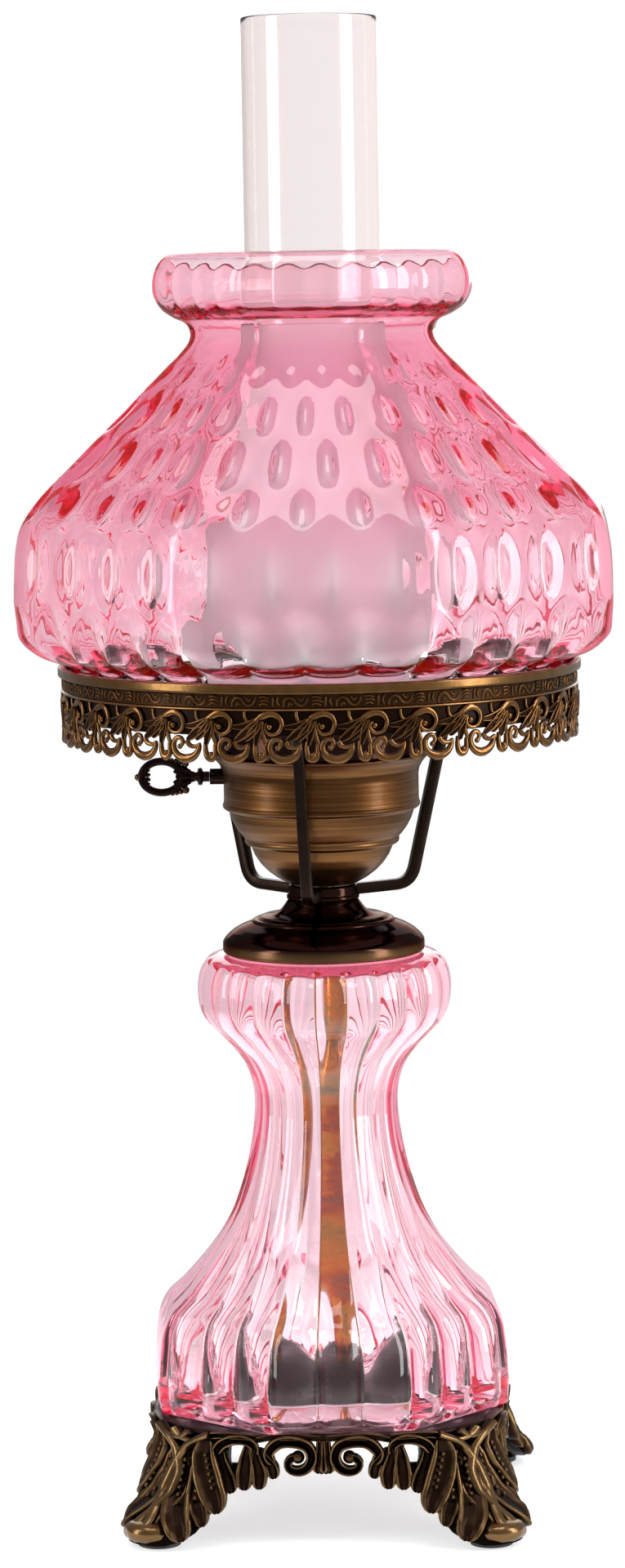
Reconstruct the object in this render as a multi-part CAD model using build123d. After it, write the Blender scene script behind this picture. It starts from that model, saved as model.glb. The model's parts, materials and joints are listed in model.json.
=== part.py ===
from build123d import *
import math
import os

# Electric table lamp in the style of an oil lamp.  Millimetres, +Z up.
# The origin is on the lamp's axis at the surface it stands on.  The front faces -Y and
# the switch key points to -X.

# ---- driving dimensions ------------------------------------------------------------
TOTAL_HEIGHT = 603.0        # to the fire-polished top of the chimney
SIDES = 8                   # shade and font are octagonal

PAD_HEIGHT = 2.0            # felt pads under the toes
TOE_REACH = 79.0            # from the axis to a toe, across the flats
BASE_TOP = 44.5             # upper face of the cast base
FONT_BOTTOM = 45.5
FONT_TOP = 227.5
FONT_WALL = 4.0
FONT_TURN = 5.8             # the font sits slightly turned on its base, degrees

CAP_RIM_Z = 228.3           # underside of the vase cap
CAP_RIM_R = 40.9
CAP_TOP = 249.4
HUB_R = 14.2
HUB_TOP = 255.7
SHEET = 0.9                 # spun brass

CUP_BAND_R = 39.4           # straight band of the burner cup
CUP_LIP_Z = 308.6
CUP_LIP_R = 44.6

SEAT_Z = 304.0              # shelf that the chimney stands on
CHIMNEY_Z = 304.3
CHIMNEY_FITTER_R = 37.9     # three inch fitter
CHIMNEY_BULGE_R = 47.5
CHIMNEY_STACK_R = 27.5
CHIMNEY_WALL = 1.8

RING_TOP = 346.3
RING_R = 103.4
RING_INNER_R = 102.2
RING_LIP_R = 105.3
FILIGREE_TOP = 335.8
FILIGREE_BOTTOM = 316.4
MOTIFS = 32                 # repeats of the pierced border
SHELF_TOP = 338.9
SHELF_INNER_R = 92.0

SHADE_Z = 339.2
SHADE_TOP = 509.4
SHADE_BAND_R = 118.3        # half the width across the flats
SHADE_COLLAR_R = 100.8
SHADE_WALL = 3.0
COLLAR_TOP = 346.9          # the round collar stands inside the ring's lip

ARM_AZIMUTHS = (-6.5, 113.5, -126.5)    # from the front towards +X, degrees
ARM_BAR = 4.5
ARM_MID_Z = 252.6
ARM_SCREW_R = 95.5

ROD_R = 4.9                 # hollow threaded rod
ROD_BORE_R = 3.2
ROD_BOTTOM = 29.0
ROD_TOP = 271.0
NUT_FLATS = 15.0
SLEEVE_R = 6.7

SOCKET_Z = 263.0
SOCKET_TOP = 326.0
SOCKET_SHELL_R = 16.9
SOCKET_BODY_R = 15.4
SOCKET_BODY_Z = 284.0
SOCKET_BODY_TOP = 307.5
SCREW_SHELL_R = 13.9

KEY_Z = 299.7               # axis of the switch key
BUSHING_R = 3.2
BUSHING_END_X = -44.9
SHAFT_R = 1.6
SHAFT_CLEARANCE = 0.08
ROTOR_R = 5.0
ROTOR_HALF = 6.0
KEY_TIP_X = -75.6

BULB_Z = 309.4
BULB_BASE_R = 13.1
BULB_R = 24.0
BULB_TOP = 400.0


# ---- helpers -----------------------------------------------------------------------
def write(name, shape):
    """Write one sub-part under its node name."""
    export_step(shape, os.path.join("parts", name + ".step"))


def outline(*pieces):
    """Closed face in the XZ plane from straight and curved stretches, end to end.

    A list of points is a run of straight lines and a tuple of points a smooth curve.
    """
    edges = []
    first = None
    last = None
    for piece in pieces:
        points = [(p[0], 0, p[1]) for p in piece]
        if last is not None and math.dist(last, points[0]) > 1e-6:
            edges.append(Line(last, points[0]))
        if isinstance(piece, tuple):
            edges.append(Spline(*points))
        else:
            edges += [Line(a, b) for a, b in zip(points, points[1:])]
        first = first or points[0]
        last = points[-1]
    if math.dist(last, first) > 1e-6:
        edges.append(Line(last, first))
    return make_face(edges)


def turned(*pieces):
    """Solid of revolution about the lamp's axis."""
    return revolve(outline(*pieces), Axis.Z, 360)


def ring(outer, inner, low, high):
    """Plain ring about the axis."""
    return turned([(inner, low), (outer, low), (outer, high), (inner, high)])


def disc(radius, low, high):
    """Plain disc about the axis."""
    return Pos(0, 0, (low + high) / 2) * Cylinder(radius, high - low)


def octagonal(*pieces):
    """Eight-sided solid whose half section, axis to face, is the given outline."""
    half = outline(*pieces)
    slab = extrude(half + mirror(half, Plane.YZ), 200, dir=(0, 1, 0), both=True)
    solid = slab
    for turn in range(1, SIDES // 2):
        solid = solid & (Rot(0, 0, turn * 360 / SIDES) * slab)
    return solid


def inset(points, wall):
    """Points moved towards the axis, square to the curve through them."""
    moved = []
    for i, (r, z) in enumerate(points):
        before = points[max(i - 1, 0)]
        after = points[min(i + 1, len(points) - 1)]
        run = (after[0] - before[0], after[1] - before[1])
        length = math.hypot(*run)
        moved.append((r - wall * run[1] / length, z + wall * run[0] / length))
    return moved


def hexagon_nut(flats, low, high, bore):
    """Hexagon nut with chamfered corners."""
    radius = flats / math.sqrt(3)
    body = Pos(0, 0, low) * extrude(RegularPolygon(radius, 6), high - low)
    cone = turned([(0, low), (radius - 0.5, low), (radius, low + 0.5), (radius, high - 0.5),
                   (radius - 0.5, high), (0, high)])
    return (body & cone) - disc(bore, low - 1, high + 1)


def azimuth(angle):
    """Turn that takes the front, -Y, to this azimuth towards +X."""
    return Rot(0, 0, angle)


def along_x(radius, x_low, x_high, z):
    """Cylinder along X at height z."""
    return Pos((x_low + x_high) / 2, 0, z) * Rot(0, 90, 0) * Cylinder(radius, x_high - x_low)


def rounded_square(half, corner, z):
    """Square with rounded corners at height z."""
    return Pos(0, 0, z) * RectangleRounded(2 * half, 2 * half, corner)


# ---- base --------------------------------------------------------------------------
BASE_SECTIONS = ((BASE_TOP, 70.5, 42.0), (29.0, 68.0, 34.0), (14.0, 73.0, 24.0),
                 (6.0, 78.5, 16.0), (PAD_HEIGHT, TOE_REACH, 14.0))
BASE_WALL = 5.5


def base_casting():
    """Square skirt with four legs that flare to the toes, cut away between them."""
    outside = loft([rounded_square(half, corner, z) for z, half, corner in BASE_SECTIONS])
    inside = loft([rounded_square(half - BASE_WALL, corner - BASE_WALL, z - 0.01)
                   for z, half, corner in BASE_SECTIONS])
    shell = outside - inside
    arch = outline([(-53, -1), (-52, 8), (-46, 15), (-38, 21), (-22, 24), (-18, 27), (18, 27),
                    (22, 24), (38, 21), (46, 15), (52, 8), (53, -1)])
    tunnel = extrude(arch, 120, dir=(0, 1, 0), both=True)
    shell = shell - tunnel - Rot(0, 0, 90) * tunnel
    for side in range(4):
        for x, z, width in ((-11, 35, 7), (11, 35, 7), (-33, 34, 9), (33, 34, 9)):
            slot = Pos(x, -70, z) * Box(width, 30, 4.5)
            shell -= Rot(0, 0, 90 * side) * slot
    floor = Pos(0, 0, BASE_TOP - 4.5) * extrude(RectangleRounded(130, 130, 36), 4.5)
    toes = [Pos(x, y, PAD_HEIGHT + 4) * Cylinder(9, 8)
            for x in (-66, 66) for y in (-66, 66)]
    casting = shell + floor
    for toe in toes:
        casting += toe & outside
    return casting - disc(ROD_R + 0.2, 30, 50)


def foot_pads():
    """Four round felt pads."""
    return Compound([Pos(x, y, PAD_HEIGHT / 2) * Cylinder(8.5, PAD_HEIGHT)
                     for x in (-66, 66) for y in (-66, 66)])


# ---- font --------------------------------------------------------------------------
FONT_SIDE = ((71.0, 62.0), (70.2, 71.0), (68.4, 82.0), (59.5, 92.0), (48.5, 105.5),
             (40.2, 119.5), (35.0, 132.5), (31.2, 147.5), (29.2, 163.0), (29.2, 170.5),
             (30.8, 179.5), (35.0, 186.5), (43.0, 195.5), (48.6, 202.5), (51.0, 211.0),
             (50.6, 219.5), (48.2, 225.0), (44.5, FONT_TOP))
FONT_ROUND_ABOVE = 118.0


def font_glass():
    """Hollow fluted font, octagonal below and nearly round above."""
    side = list(FONT_SIDE)
    outer = octagonal([(0, FONT_BOTTOM), (71.0, FONT_BOTTOM), side[0]], FONT_SIDE,
                      [(0, FONT_TOP)])
    limit = [(r * (1.03 if z > FONT_ROUND_ABOVE else 1.075), z) for r, z in side[1:]]
    envelope = turned([(0, 0), (76.5, 0), (76.5, 60), limit[0]], tuple(limit),
                      [(limit[-1][0], 300), (0, 300)])
    outer = outer & envelope
    lining = inset(side[:-1], FONT_WALL)
    inner = turned([(0, FONT_BOTTOM - 1), (58.0, FONT_BOTTOM - 1), (58.0, FONT_BOTTOM + 4),
                    (lining[0][0] - 0.5, 56)], tuple(lining),
                   [(36.0, FONT_TOP - 4.5), (20.0, FONT_TOP - 4.5), (20.0, FONT_TOP + 1),
                    (0, FONT_TOP + 1)])
    return azimuth(FONT_TURN) * (outer - inner)


def centring_cup():
    """Dark inverted cup that centres the font and carries the sleeve."""
    return turned([(ROD_R + 0.1, 60.6), (10.0, 60.6)], ((10.0, 60.6), (28.0, 57.8), (36.2, 50.0)),
                  [(36.6, BASE_TOP), (38.0, BASE_TOP), (37.6, 50.4)],
                  ((37.6, 50.4), (29.0, 59.2), (10.0, 62.0)), [(ROD_R + 0.1, 62.0)])


# ---- vase cap, spider and burner cup -----------------------------------------------
CAP_DOME = ((CAP_RIM_R, 233.3), (38.9, 236.0), (34.4, 238.7), (28.6, 240.8))
CAP_CONE = ((25.0, 242.0), (19.4, 243.6), (16.4, 246.2), (14.0, CAP_TOP))
CUP_SIDE = (((14.0, 256.2), (18.4, 258.7), (24.6, 264.1), (28.0, 270.4)),
            ((29.6, 272.0), (30.8, 273.2), (31.4, 274.8)),
            ((32.6, 277.2), (35.6, 281.2), (37.2, 285.2)),
            ((38.8, 286.8), (39.7, 287.9), (CUP_BAND_R, 289.4)),
            ((CUP_BAND_R, 300.0), (40.2, 304.0), (CUP_LIP_R, CUP_LIP_Z)))


def vase_cap():
    """Spun cap over the font: upright rim, dome, step and concave cone."""
    dome_in = inset(CAP_DOME, 1.2)
    cone_in = inset(CAP_CONE, 1.2)
    return turned([(CAP_RIM_R - 1.2, CAP_RIM_Z), (CAP_RIM_R, CAP_RIM_Z), CAP_DOME[0]],
                  CAP_DOME, [(27.4, 242.0), CAP_CONE[0]], CAP_CONE,
                  [(ROD_R + 0.1, CAP_TOP), (ROD_R + 0.1, CAP_TOP - 1.4),
                   (cone_in[-1][0], CAP_TOP - 1.4)],
                  tuple(reversed(cone_in[:-1])), tuple(reversed(dome_in)))


def arm_path():
    """Centre line of a spider arm in its own plane, radius and height."""
    return FilletPolyline((12.0, 0, ARM_MID_Z), (38.4, 0, ARM_MID_Z + 1.0), (54.3, 0, 320.0),
                          (84.0, 0, 335.2), (100.6, 0, 335.2), radius=5.0)


def shade_arm(angle):
    """Square bar from the hub out, up beside the cup and out to the ring."""
    path = arm_path()
    section = Plane(origin=path @ 0, x_dir=(0, 1, 0), z_dir=path % 0) * Rectangle(ARM_BAR, ARM_BAR)
    bar = sweep(section, path, transition=Transition.RIGHT)
    bar -= disc(HUB_R, 240, 260)
    bar -= Pos(ARM_SCREW_R, 0, 335) * Cylinder(1.5, 10)
    return azimuth(angle - 90) * bar


def spider_hub():
    """Solid hub that the three arms are welded to."""
    hub = turned([(ROD_R + 0.1, CAP_TOP), (HUB_R - 0.4, CAP_TOP), (HUB_R, CAP_TOP + 0.4),
                  (HUB_R, HUB_TOP - 0.4), (HUB_R - 0.4, HUB_TOP), (ROD_R + 0.1, HUB_TOP)])
    return hub


def burner_cup():
    """Spun brass cup with two beads and a flared lip, bored for the key bushing."""
    outside = [(ROD_R + 0.1, HUB_TOP), (12.5, HUB_TOP)]
    lining = [inset(run, SHEET) for run in CUP_SIDE]
    pieces = [outside] + list(CUP_SIDE)
    pieces += [tuple(reversed(run)) for run in reversed(lining)]
    pieces.append([(12.5, HUB_TOP + SHEET), (ROD_R + 0.1, HUB_TOP + SHEET)])
    return turned(*pieces) - along_x(BUSHING_R, -60, -20, KEY_Z)


def chimney_seat():
    """Flat shelf inside the cup with four spring fingers inside the chimney."""
    seat = ring(38.45, 33.6, SEAT_Z - 0.9, SEAT_Z)
    finger = Pos(0, -35.3, SEAT_Z + 3.5) * Box(9, 0.8, 9)
    for quarter in range(4):
        seat += Rot(0, 0, 45 + 90 * quarter) * finger
    return seat


# ---- socket, switch and key --------------------------------------------------------
def socket_cap():
    """Brass cap of the socket, screwed on the rod."""
    cap = turned([(ROD_R, SOCKET_Z), (9.0, SOCKET_Z), (9.0, 268.0)],
                 ((9.0, 268.0), (15.0, 271.0), (18.0, 276.0)),
                 [(18.0, 284.0), (SOCKET_SHELL_R + 0.1, 284.0), (SOCKET_SHELL_R + 0.1, 276.4)],
                 ((SOCKET_SHELL_R + 0.1, 276.4), (14.0, 272.4), (8.0, 269.6)),
                 [(ROD_R, 269.6)])
    return cap


def socket_shell():
    """Thin brass shell round the socket."""
    shell = ring(SOCKET_SHELL_R, SOCKET_SHELL_R - 0.5, 277.5, SOCKET_TOP)
    return shell - along_x(BUSHING_R, -20, 0, KEY_Z)


def socket_liner():
    """Card liner between the shell and the live parts."""
    liner = ring(SOCKET_SHELL_R - 0.6, SOCKET_BODY_R + 0.1, 278.5, SOCKET_TOP - 0.8)
    return liner - along_x(BUSHING_R, -20, 0, KEY_Z)


def socket_body():
    """Moulded insulating body with the cavity for the switch rotor."""
    body = disc(SOCKET_BODY_R, SOCKET_BODY_Z, SOCKET_BODY_TOP)
    body -= along_x(ROTOR_R + 0.6, -ROTOR_HALF - 0.4, ROTOR_HALF + 0.4, KEY_Z)
    body -= along_x(SHAFT_R + 0.4, -20, 0, KEY_Z)
    for side in (-1, 1):
        body -= Pos(0, side * 14.2, 288.5) * Box(7, 5, 6)
    return body


def terminal_screws():
    """Two binding screws in the sides of the socket body."""
    screw = Cylinder(2.6, 1.6) + Pos(0, 0, -0.8) * Cylinder(2.9, 0.4) - Pos(0, 0, 0.8) * Box(6, 0.7, 0.9)
    return Compound([Pos(0, side * 12.7, 288.5) * Rot(-90 * side, 0, 0) * screw
                     for side in (-1, 1)])


def screw_shell():
    """Threaded contact shell, drawn as a plain tube."""
    return ring(SCREW_SHELL_R, SCREW_SHELL_R - 0.4, SOCKET_BODY_TOP, 324.5)


def centre_contact():
    """Sprung tongue under the bulb's centre contact."""
    return Pos(0, 0, SOCKET_BODY_TOP + 0.5) * Box(12, 4.5, 1.0)


def switch_rotor():
    """Square cam on the key shaft inside the socket body."""
    block = along_x(ROTOR_R, -ROTOR_HALF, ROTOR_HALF, KEY_Z)
    for side in (-1, 1):
        block -= Pos(0, side * 5.4, KEY_Z) * Box(8, 3, 12)
    return block - along_x(SHAFT_R, -8, -2, KEY_Z)


def key_shaft():
    """Steel shaft from the rotor to the key."""
    return along_x(SHAFT_R, BUSHING_END_X - 3.5, -2, KEY_Z)


def key_bushing():
    """Brass tube that carries the shaft through the shell and the cup."""
    tube = along_x(BUSHING_R, BUSHING_END_X, -SOCKET_BODY_R - 0.2, KEY_Z)
    return tube - along_x(SHAFT_R + SHAFT_CLEARANCE, BUSHING_END_X - 1, 0, KEY_Z)


def turn_key():
    """Cast key: neck, collar, leaf stem and an oval loop with a ball at its tip."""
    neck = along_x(2.1, -47.9, BUSHING_END_X - 0.3, KEY_Z)
    collar = along_x(3.5, -49.8, -47.9, KEY_Z)
    stem = Pos(-53.6, 0, KEY_Z) * Rot(0, -90, 0) * Cone(2.2, 3.6, 8.0)
    flat = Plane(origin=(-64.6, 0, KEY_Z), x_dir=(1, 0, 0), z_dir=(0, 1, 0))
    loop = extrude(flat * (Ellipse(10.0, 8.1) - Ellipse(5.9, 4.7)), 1.8, both=True)
    loop = fillet(loop.edges(), 1.2)
    tip = Pos(KEY_TIP_X + 1.5, 0, KEY_Z) * Sphere(1.5)
    key = neck + collar + (stem - Pos(-64.6, 0, KEY_Z) * Box(12.2, 9, 9)) + loop + tip
    return key - along_x(SHAFT_R, BUSHING_END_X - 3.5, -40, KEY_Z)


# ---- gallery ring ------------------------------------------------------------------
def ring_band():
    """Lip and frieze: the rolled lip stands proud of the band under it."""
    return turned([(RING_INNER_R, FILIGREE_TOP), (RING_R + 0.4, FILIGREE_TOP),
                   (RING_R + 0.4, 336.8), (RING_R, 337.0), (RING_R, 342.2),
                   (RING_LIP_R - 0.4, 342.4), (RING_LIP_R, 342.8), (RING_LIP_R, RING_TOP - 0.5),
                   (RING_LIP_R - 0.6, RING_TOP), (RING_INNER_R, RING_TOP)])


def ring_filigree():
    """Pierced border hanging from the band, scalloped along its lower edge."""
    border = ring(RING_R, RING_INNER_R, FILIGREE_BOTTOM, FILIGREE_TOP)
    pitch = 360 / MOTIFS
    hole = Rot(0, 90, 0) * Cylinder(2.6, 12)
    notch = Rot(0, 90, 0) * Cylinder(2.2, 12)
    cutters = []
    for motif in range(MOTIFS):
        cutters.append(Rot(0, 0, motif * pitch) * Pos(RING_R, 0, 322.2) * hole)
        cutters.append(Rot(0, 0, (motif + 0.5) * pitch) * Pos(RING_R, 0, 315.4) * notch)
    return border - Compound(cutters)


def ring_shelf():
    """Flat inner shelf that the shade stands on."""
    shelf = ring(RING_INNER_R, SHELF_INNER_R, SHELF_TOP - 1.4, SHELF_TOP)
    for angle in ARM_AZIMUTHS:
        shelf -= azimuth(angle - 90) * Pos(ARM_SCREW_R, 0, 338) * Cylinder(1.5, 10)
    return shelf


def ring_screws():
    """Three screws that hold the shelf on the ends of the arms."""
    shank = Pos(ARM_SCREW_R, 0, (332.95 + SHELF_TOP) / 2) * Cylinder(1.5, SHELF_TOP - 332.95)
    head = Pos(ARM_SCREW_R, 0, 331.95) * Cylinder(2.8, 2.0)
    screw = shank + head - Pos(ARM_SCREW_R, 0, 331.0) * Box(7, 0.8, 1.2)
    return Compound([azimuth(angle - 90) * screw for angle in ARM_AZIMUTHS])


# ---- glass -------------------------------------------------------------------------
SHADE_SHOULDER = ((SHADE_COLLAR_R, COLLAR_TOP), (106.4, 348.6), (112.8, 352.0), (116.7, 358.0),
                  (SHADE_BAND_R - 0.1, 368.0), (SHADE_BAND_R, 382.0), (117.4, 394.4),
                  (114.8, 405.0), (109.6, 414.3))
SHADE_RIM = ((52.0, 471.4), (48.8, 475.8), (48.3, 479.2), (50.4, 482.6), (58.4, 486.5),
             (62.6, 491.0), (64.1, 497.0), (62.9, 503.0), (60.0, 506.8), (56.6, SHADE_TOP))


def shade_glass():
    """Octagonal shade: round collar, upright band, slope, neck and bulbous rim."""
    outer = octagonal([(0, SHADE_Z), (SHADE_COLLAR_R, SHADE_Z), SHADE_SHOULDER[0]],
                      SHADE_SHOULDER, SHADE_RIM, [(0, SHADE_TOP)])
    collar = turned([(0, SHADE_Z - 1), (SHADE_COLLAR_R, SHADE_Z - 1),
                     (SHADE_COLLAR_R, COLLAR_TOP), (124.5, 360.0), (126.5, 380.0), (124.0, 405.0), (118.0, 416.0),
                     (118.0, SHADE_TOP + 1), (0, SHADE_TOP + 1)])
    shoulder_in = inset(SHADE_SHOULDER, SHADE_WALL)
    rim_in = inset(SHADE_RIM, SHADE_WALL)
    lining = octagonal([(0, 348.0), (shoulder_in[1][0] - 3.0, 348.0)], tuple(shoulder_in[1:]),
                       tuple(rim_in), [(rim_in[-1][0], SHADE_TOP + 5), (0, SHADE_TOP + 5)])
    mouth = disc(SHADE_COLLAR_R - SHADE_WALL, SHADE_Z - 2, 349.0)
    corners = turned([(0, 347.0), (SHADE_COLLAR_R - SHADE_WALL, 347.4), (120.5, 360.8),
                      (122.5, 380.0), (120.0, 403.5), (114.0, 414.0), (114.0, SHADE_TOP + 6),
                      (0, SHADE_TOP + 6)])
    return (outer & collar) - (lining & corners) - mouth


CHIMNEY_SIDE = ((CHIMNEY_FITTER_R, 312.0), (40.6, 324.0), (45.6, 347.0), (CHIMNEY_BULGE_R, 372.0),
                (45.0, 400.0), (38.0, 428.0), (30.4, 452.0), (CHIMNEY_STACK_R, 476.0))


def chimney_glass():
    """Thin glass chimney: fitter, bulge and straight stack."""
    side = list(CHIMNEY_SIDE)
    lining = inset(side, CHIMNEY_WALL)
    fitter_in = CHIMNEY_FITTER_R - CHIMNEY_WALL
    stack_in = CHIMNEY_STACK_R - CHIMNEY_WALL
    lining[0] = (fitter_in, side[0][1])
    lining[-1] = (stack_in, side[-1][1])
    return turned([(fitter_in, CHIMNEY_Z), (CHIMNEY_FITTER_R, CHIMNEY_Z), side[0]],
                  tuple(side), [(CHIMNEY_STACK_R, TOTAL_HEIGHT), (stack_in, TOTAL_HEIGHT)],
                  tuple(reversed(lining)))


# ---- bulb --------------------------------------------------------------------------
BULB_SIDE = ((12.4, 333.0), (14.0, 342.0), (20.5, 356.0), (BULB_R, 374.0), (21.0, 389.0),
             (12.0, 398.0))


def bulb_glass():
    """Hollow bulb envelope, closed at the top."""
    side = list(BULB_SIDE)
    lining = inset(side, 0.9)
    outer = turned([(0, 333.0), side[0]], tuple(side + [(0.01, BULB_TOP)]), [(0, BULB_TOP)])
    inner = turned([(0, 332.0), (lining[0][0], 332.0), lining[0]],
                   tuple(lining + [(0.01, BULB_TOP - 0.9)]), [(0, BULB_TOP - 0.9)])
    return outer - inner


def bulb_base():
    """Screw base of the bulb, drawn as a plain shell."""
    return turned([(9.0, 314.0), (BULB_BASE_R, 315.4), (BULB_BASE_R, 333.0), (BULB_BASE_R - 0.6, 333.0),
                   (BULB_BASE_R - 0.6, 316.0), (9.0, 314.8)])


def bulb_insulator():
    """Black glass cone between the bulb's two contacts."""
    return turned([(0, 310.9), (4.8, 310.9), (9.0, 314.0), (9.0, 316.0), (0, 316.0)])


def bulb_contact():
    """Solder button at the bottom of the bulb."""
    return turned([(0, BULB_Z), (3.4, BULB_Z), (4.8, 310.9), (0, 310.9)])


def bulb_stem():
    """Glass stem inside the bulb."""
    return turned([(0, 316.0), (7.0, 316.0), (7.0, 320.0), (3.2, 332.0), (2.6, 352.0), (0, 352.0)])


def bulb_filament():
    """Two leads and the coil, drawn as a bar between them."""
    wire = Cylinder(0.35, 16)
    bar = Pos(0, 0, 367.6) * Rot(0, 90, 0) * Cylinder(0.6, 18)
    parts = bar
    for side in (-1, 1):
        parts += Pos(side * 4.4, 0, 359.8) * Rot(0, side * 31, 0) * wire
    parts += Pos(0, 0, 352.6) * Cylinder(1.4, 1.2) + Pos(0, 0, 353.0) * Box(2.4, 0.8, 1.6)
    return parts


# ---- rod and its hardware ----------------------------------------------------------
def threaded_rod():
    """Hollow rod that clamps the whole stack together."""
    return ring(ROD_R, ROD_BORE_R, ROD_BOTTOM, ROD_TOP)


def main():
    os.makedirs("parts", exist_ok=True)
    write("base_casting", base_casting())
    write("foot_pads", foot_pads())
    write("base_washer", ring(11.0, ROD_R + 0.1, BASE_TOP - 6.0, BASE_TOP - 4.5))
    write("base_nut", hexagon_nut(NUT_FLATS, BASE_TOP - 11.5, BASE_TOP - 6.0, ROD_R))
    write("cord_bushing", turned([(3.0, 26.0), (6.4, 26.0), (6.4, 32.0), (ROD_R, 32.0),
                                  (ROD_R, ROD_BOTTOM), (ROD_BORE_R, ROD_BOTTOM),
                                  (3.0, ROD_BOTTOM)]))
    write("threaded_rod", threaded_rod())
    write("font_gasket", azimuth(FONT_TURN) * ring(66.0, 60.0, BASE_TOP, FONT_BOTTOM))
    write("font_glass", font_glass())
    write("centring_cup", centring_cup())
    write("rod_sleeve", ring(SLEEVE_R, SLEEVE_R - 0.6, 62.0, 247.0))
    write("cap_gasket", ring(39.0, 22.0, FONT_TOP, CAP_RIM_Z))
    write("vase_cap", vase_cap())
    write("spider_hub", spider_hub())
    for number, angle in enumerate(ARM_AZIMUTHS, 1):
        write("shade_arm_%d" % number, shade_arm(angle))
    write("burner_cup", burner_cup())
    write("cup_washer", ring(10.5, ROD_R + 0.1, HUB_TOP + SHEET, 258.0))
    write("cup_nut", hexagon_nut(NUT_FLATS, 258.0, SOCKET_Z, ROD_R))
    write("chimney_seat", chimney_seat())
    write("socket_cap", socket_cap())
    write("socket_shell", socket_shell())
    write("socket_liner", socket_liner())
    write("socket_body", socket_body())
    write("terminal_screws", terminal_screws())
    write("screw_shell", screw_shell())
    write("centre_contact", centre_contact())
    write("key_bushing", key_bushing())
    write("switch_rotor", switch_rotor())
    write("key_shaft", key_shaft())
    write("turn_key", turn_key())
    write("ring_band", ring_band())
    write("ring_filigree", ring_filigree())
    write("ring_shelf", ring_shelf())
    write("ring_screws", ring_screws())
    write("shade_glass", shade_glass())
    write("chimney_glass", chimney_glass())
    write("bulb_glass", bulb_glass())
    write("bulb_base", bulb_base())
    write("bulb_insulator", bulb_insulator())
    write("bulb_contact", bulb_contact())
    write("bulb_stem", bulb_stem())
    write("bulb_filament", bulb_filament())


main()
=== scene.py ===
import json
import math

import bpy
import numpy as np
from mathutils import Matrix, Vector

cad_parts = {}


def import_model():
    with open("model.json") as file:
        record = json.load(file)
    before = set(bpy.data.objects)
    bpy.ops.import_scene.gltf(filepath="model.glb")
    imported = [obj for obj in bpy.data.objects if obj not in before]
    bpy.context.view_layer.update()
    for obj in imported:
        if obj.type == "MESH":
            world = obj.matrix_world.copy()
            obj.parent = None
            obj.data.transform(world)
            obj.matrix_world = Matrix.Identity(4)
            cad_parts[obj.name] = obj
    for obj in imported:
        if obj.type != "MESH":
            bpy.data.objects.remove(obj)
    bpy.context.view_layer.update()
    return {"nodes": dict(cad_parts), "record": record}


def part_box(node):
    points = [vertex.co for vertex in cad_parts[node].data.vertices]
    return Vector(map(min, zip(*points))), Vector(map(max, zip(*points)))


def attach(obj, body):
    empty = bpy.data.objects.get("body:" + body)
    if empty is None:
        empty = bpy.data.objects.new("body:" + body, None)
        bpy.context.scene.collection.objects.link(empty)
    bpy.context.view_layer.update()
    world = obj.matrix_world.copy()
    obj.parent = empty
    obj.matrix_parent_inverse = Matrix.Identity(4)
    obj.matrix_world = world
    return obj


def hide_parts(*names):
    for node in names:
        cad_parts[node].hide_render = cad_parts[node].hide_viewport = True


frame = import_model()

MM = 0.001
FRONT = -math.pi / 2            # the lamp's front faces -Y
SIDES = 8                       # shade and font are octagonal
MOTIFS = 32                     # repeats round the shade and the gallery ring
QUARTERS = (1, 1), (-1, 1), (-1, -1), (1, -1)


# ---- curves and meshes ----
def length_along(line):
    """Length of a polyline up to each of its points."""
    return np.concatenate([[0], np.cumsum(np.linalg.norm(np.diff(line, axis=0), axis=1))])


def curve(points, count, closed=False):
    """Smooth curve through the points, resampled evenly to `count` points."""
    p = np.array(points, float)
    if closed:
        p = np.vstack([p[-1:], p, p[:2]])
    step = np.maximum(np.linalg.norm(np.diff(p, axis=0), axis=1), 1e-9) ** 0.5
    knots = np.concatenate([[0], np.cumsum(step)])
    slope = np.gradient(p, knots, axis=0)
    fine = []
    first, last = (1, len(p) - 2) if closed else (0, len(p) - 1)
    for i in range(first, last):
        h = knots[i + 1] - knots[i]
        t = np.linspace(0, 1, 24, endpoint=False)[:, None]
        fine.append((2 * t**3 - 3 * t**2 + 1) * p[i] + (t**3 - 2 * t**2 + t) * h * slope[i]
                    + (3 * t**2 - 2 * t**3) * p[i + 1] + (t**3 - t**2) * h * slope[i + 1])
    fine = np.vstack(fine + [p[last:last + 1]])
    run = length_along(fine)
    at = np.linspace(0, run[-1], count, endpoint=not closed)
    return np.stack([np.interp(at, run, fine[:, k]) for k in range(p.shape[1])], axis=1)


def rounded(points, radius, steps=4, closed=False):
    """Polyline with its corners rounded."""
    p = [np.array(q, float) for q in points]
    out = []
    for i, here in enumerate(p):
        if not closed and i in (0, len(p) - 1):
            out.append(here)
            continue
        sides = p[i - 1] - here, p[(i + 1) % len(p)] - here
        lengths = [np.linalg.norm(side) for side in sides]
        cut = min(radius, 0.45 * lengths[0], 0.45 * lengths[1])
        a, b = (here + side / max(long, 1e-9) * cut for side, long in zip(sides, lengths))
        for t in np.linspace(0, 1, steps + 1):
            out.append((1 - t) ** 2 * a + 2 * t * (1 - t) * here + t**2 * b)
    return np.array(out)


def square_to(run):
    """Unit vectors a quarter turn on from flat directions."""
    run = run / np.maximum(np.linalg.norm(run, axis=1), 1e-9)[:, None]
    return np.stack([-run[:, 1], run[:, 0]], axis=1)


def inward(outline):
    """Unit vectors square to an outline that runs upwards, pointing to the axis."""
    return square_to(np.gradient(outline, axis=0))


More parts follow.
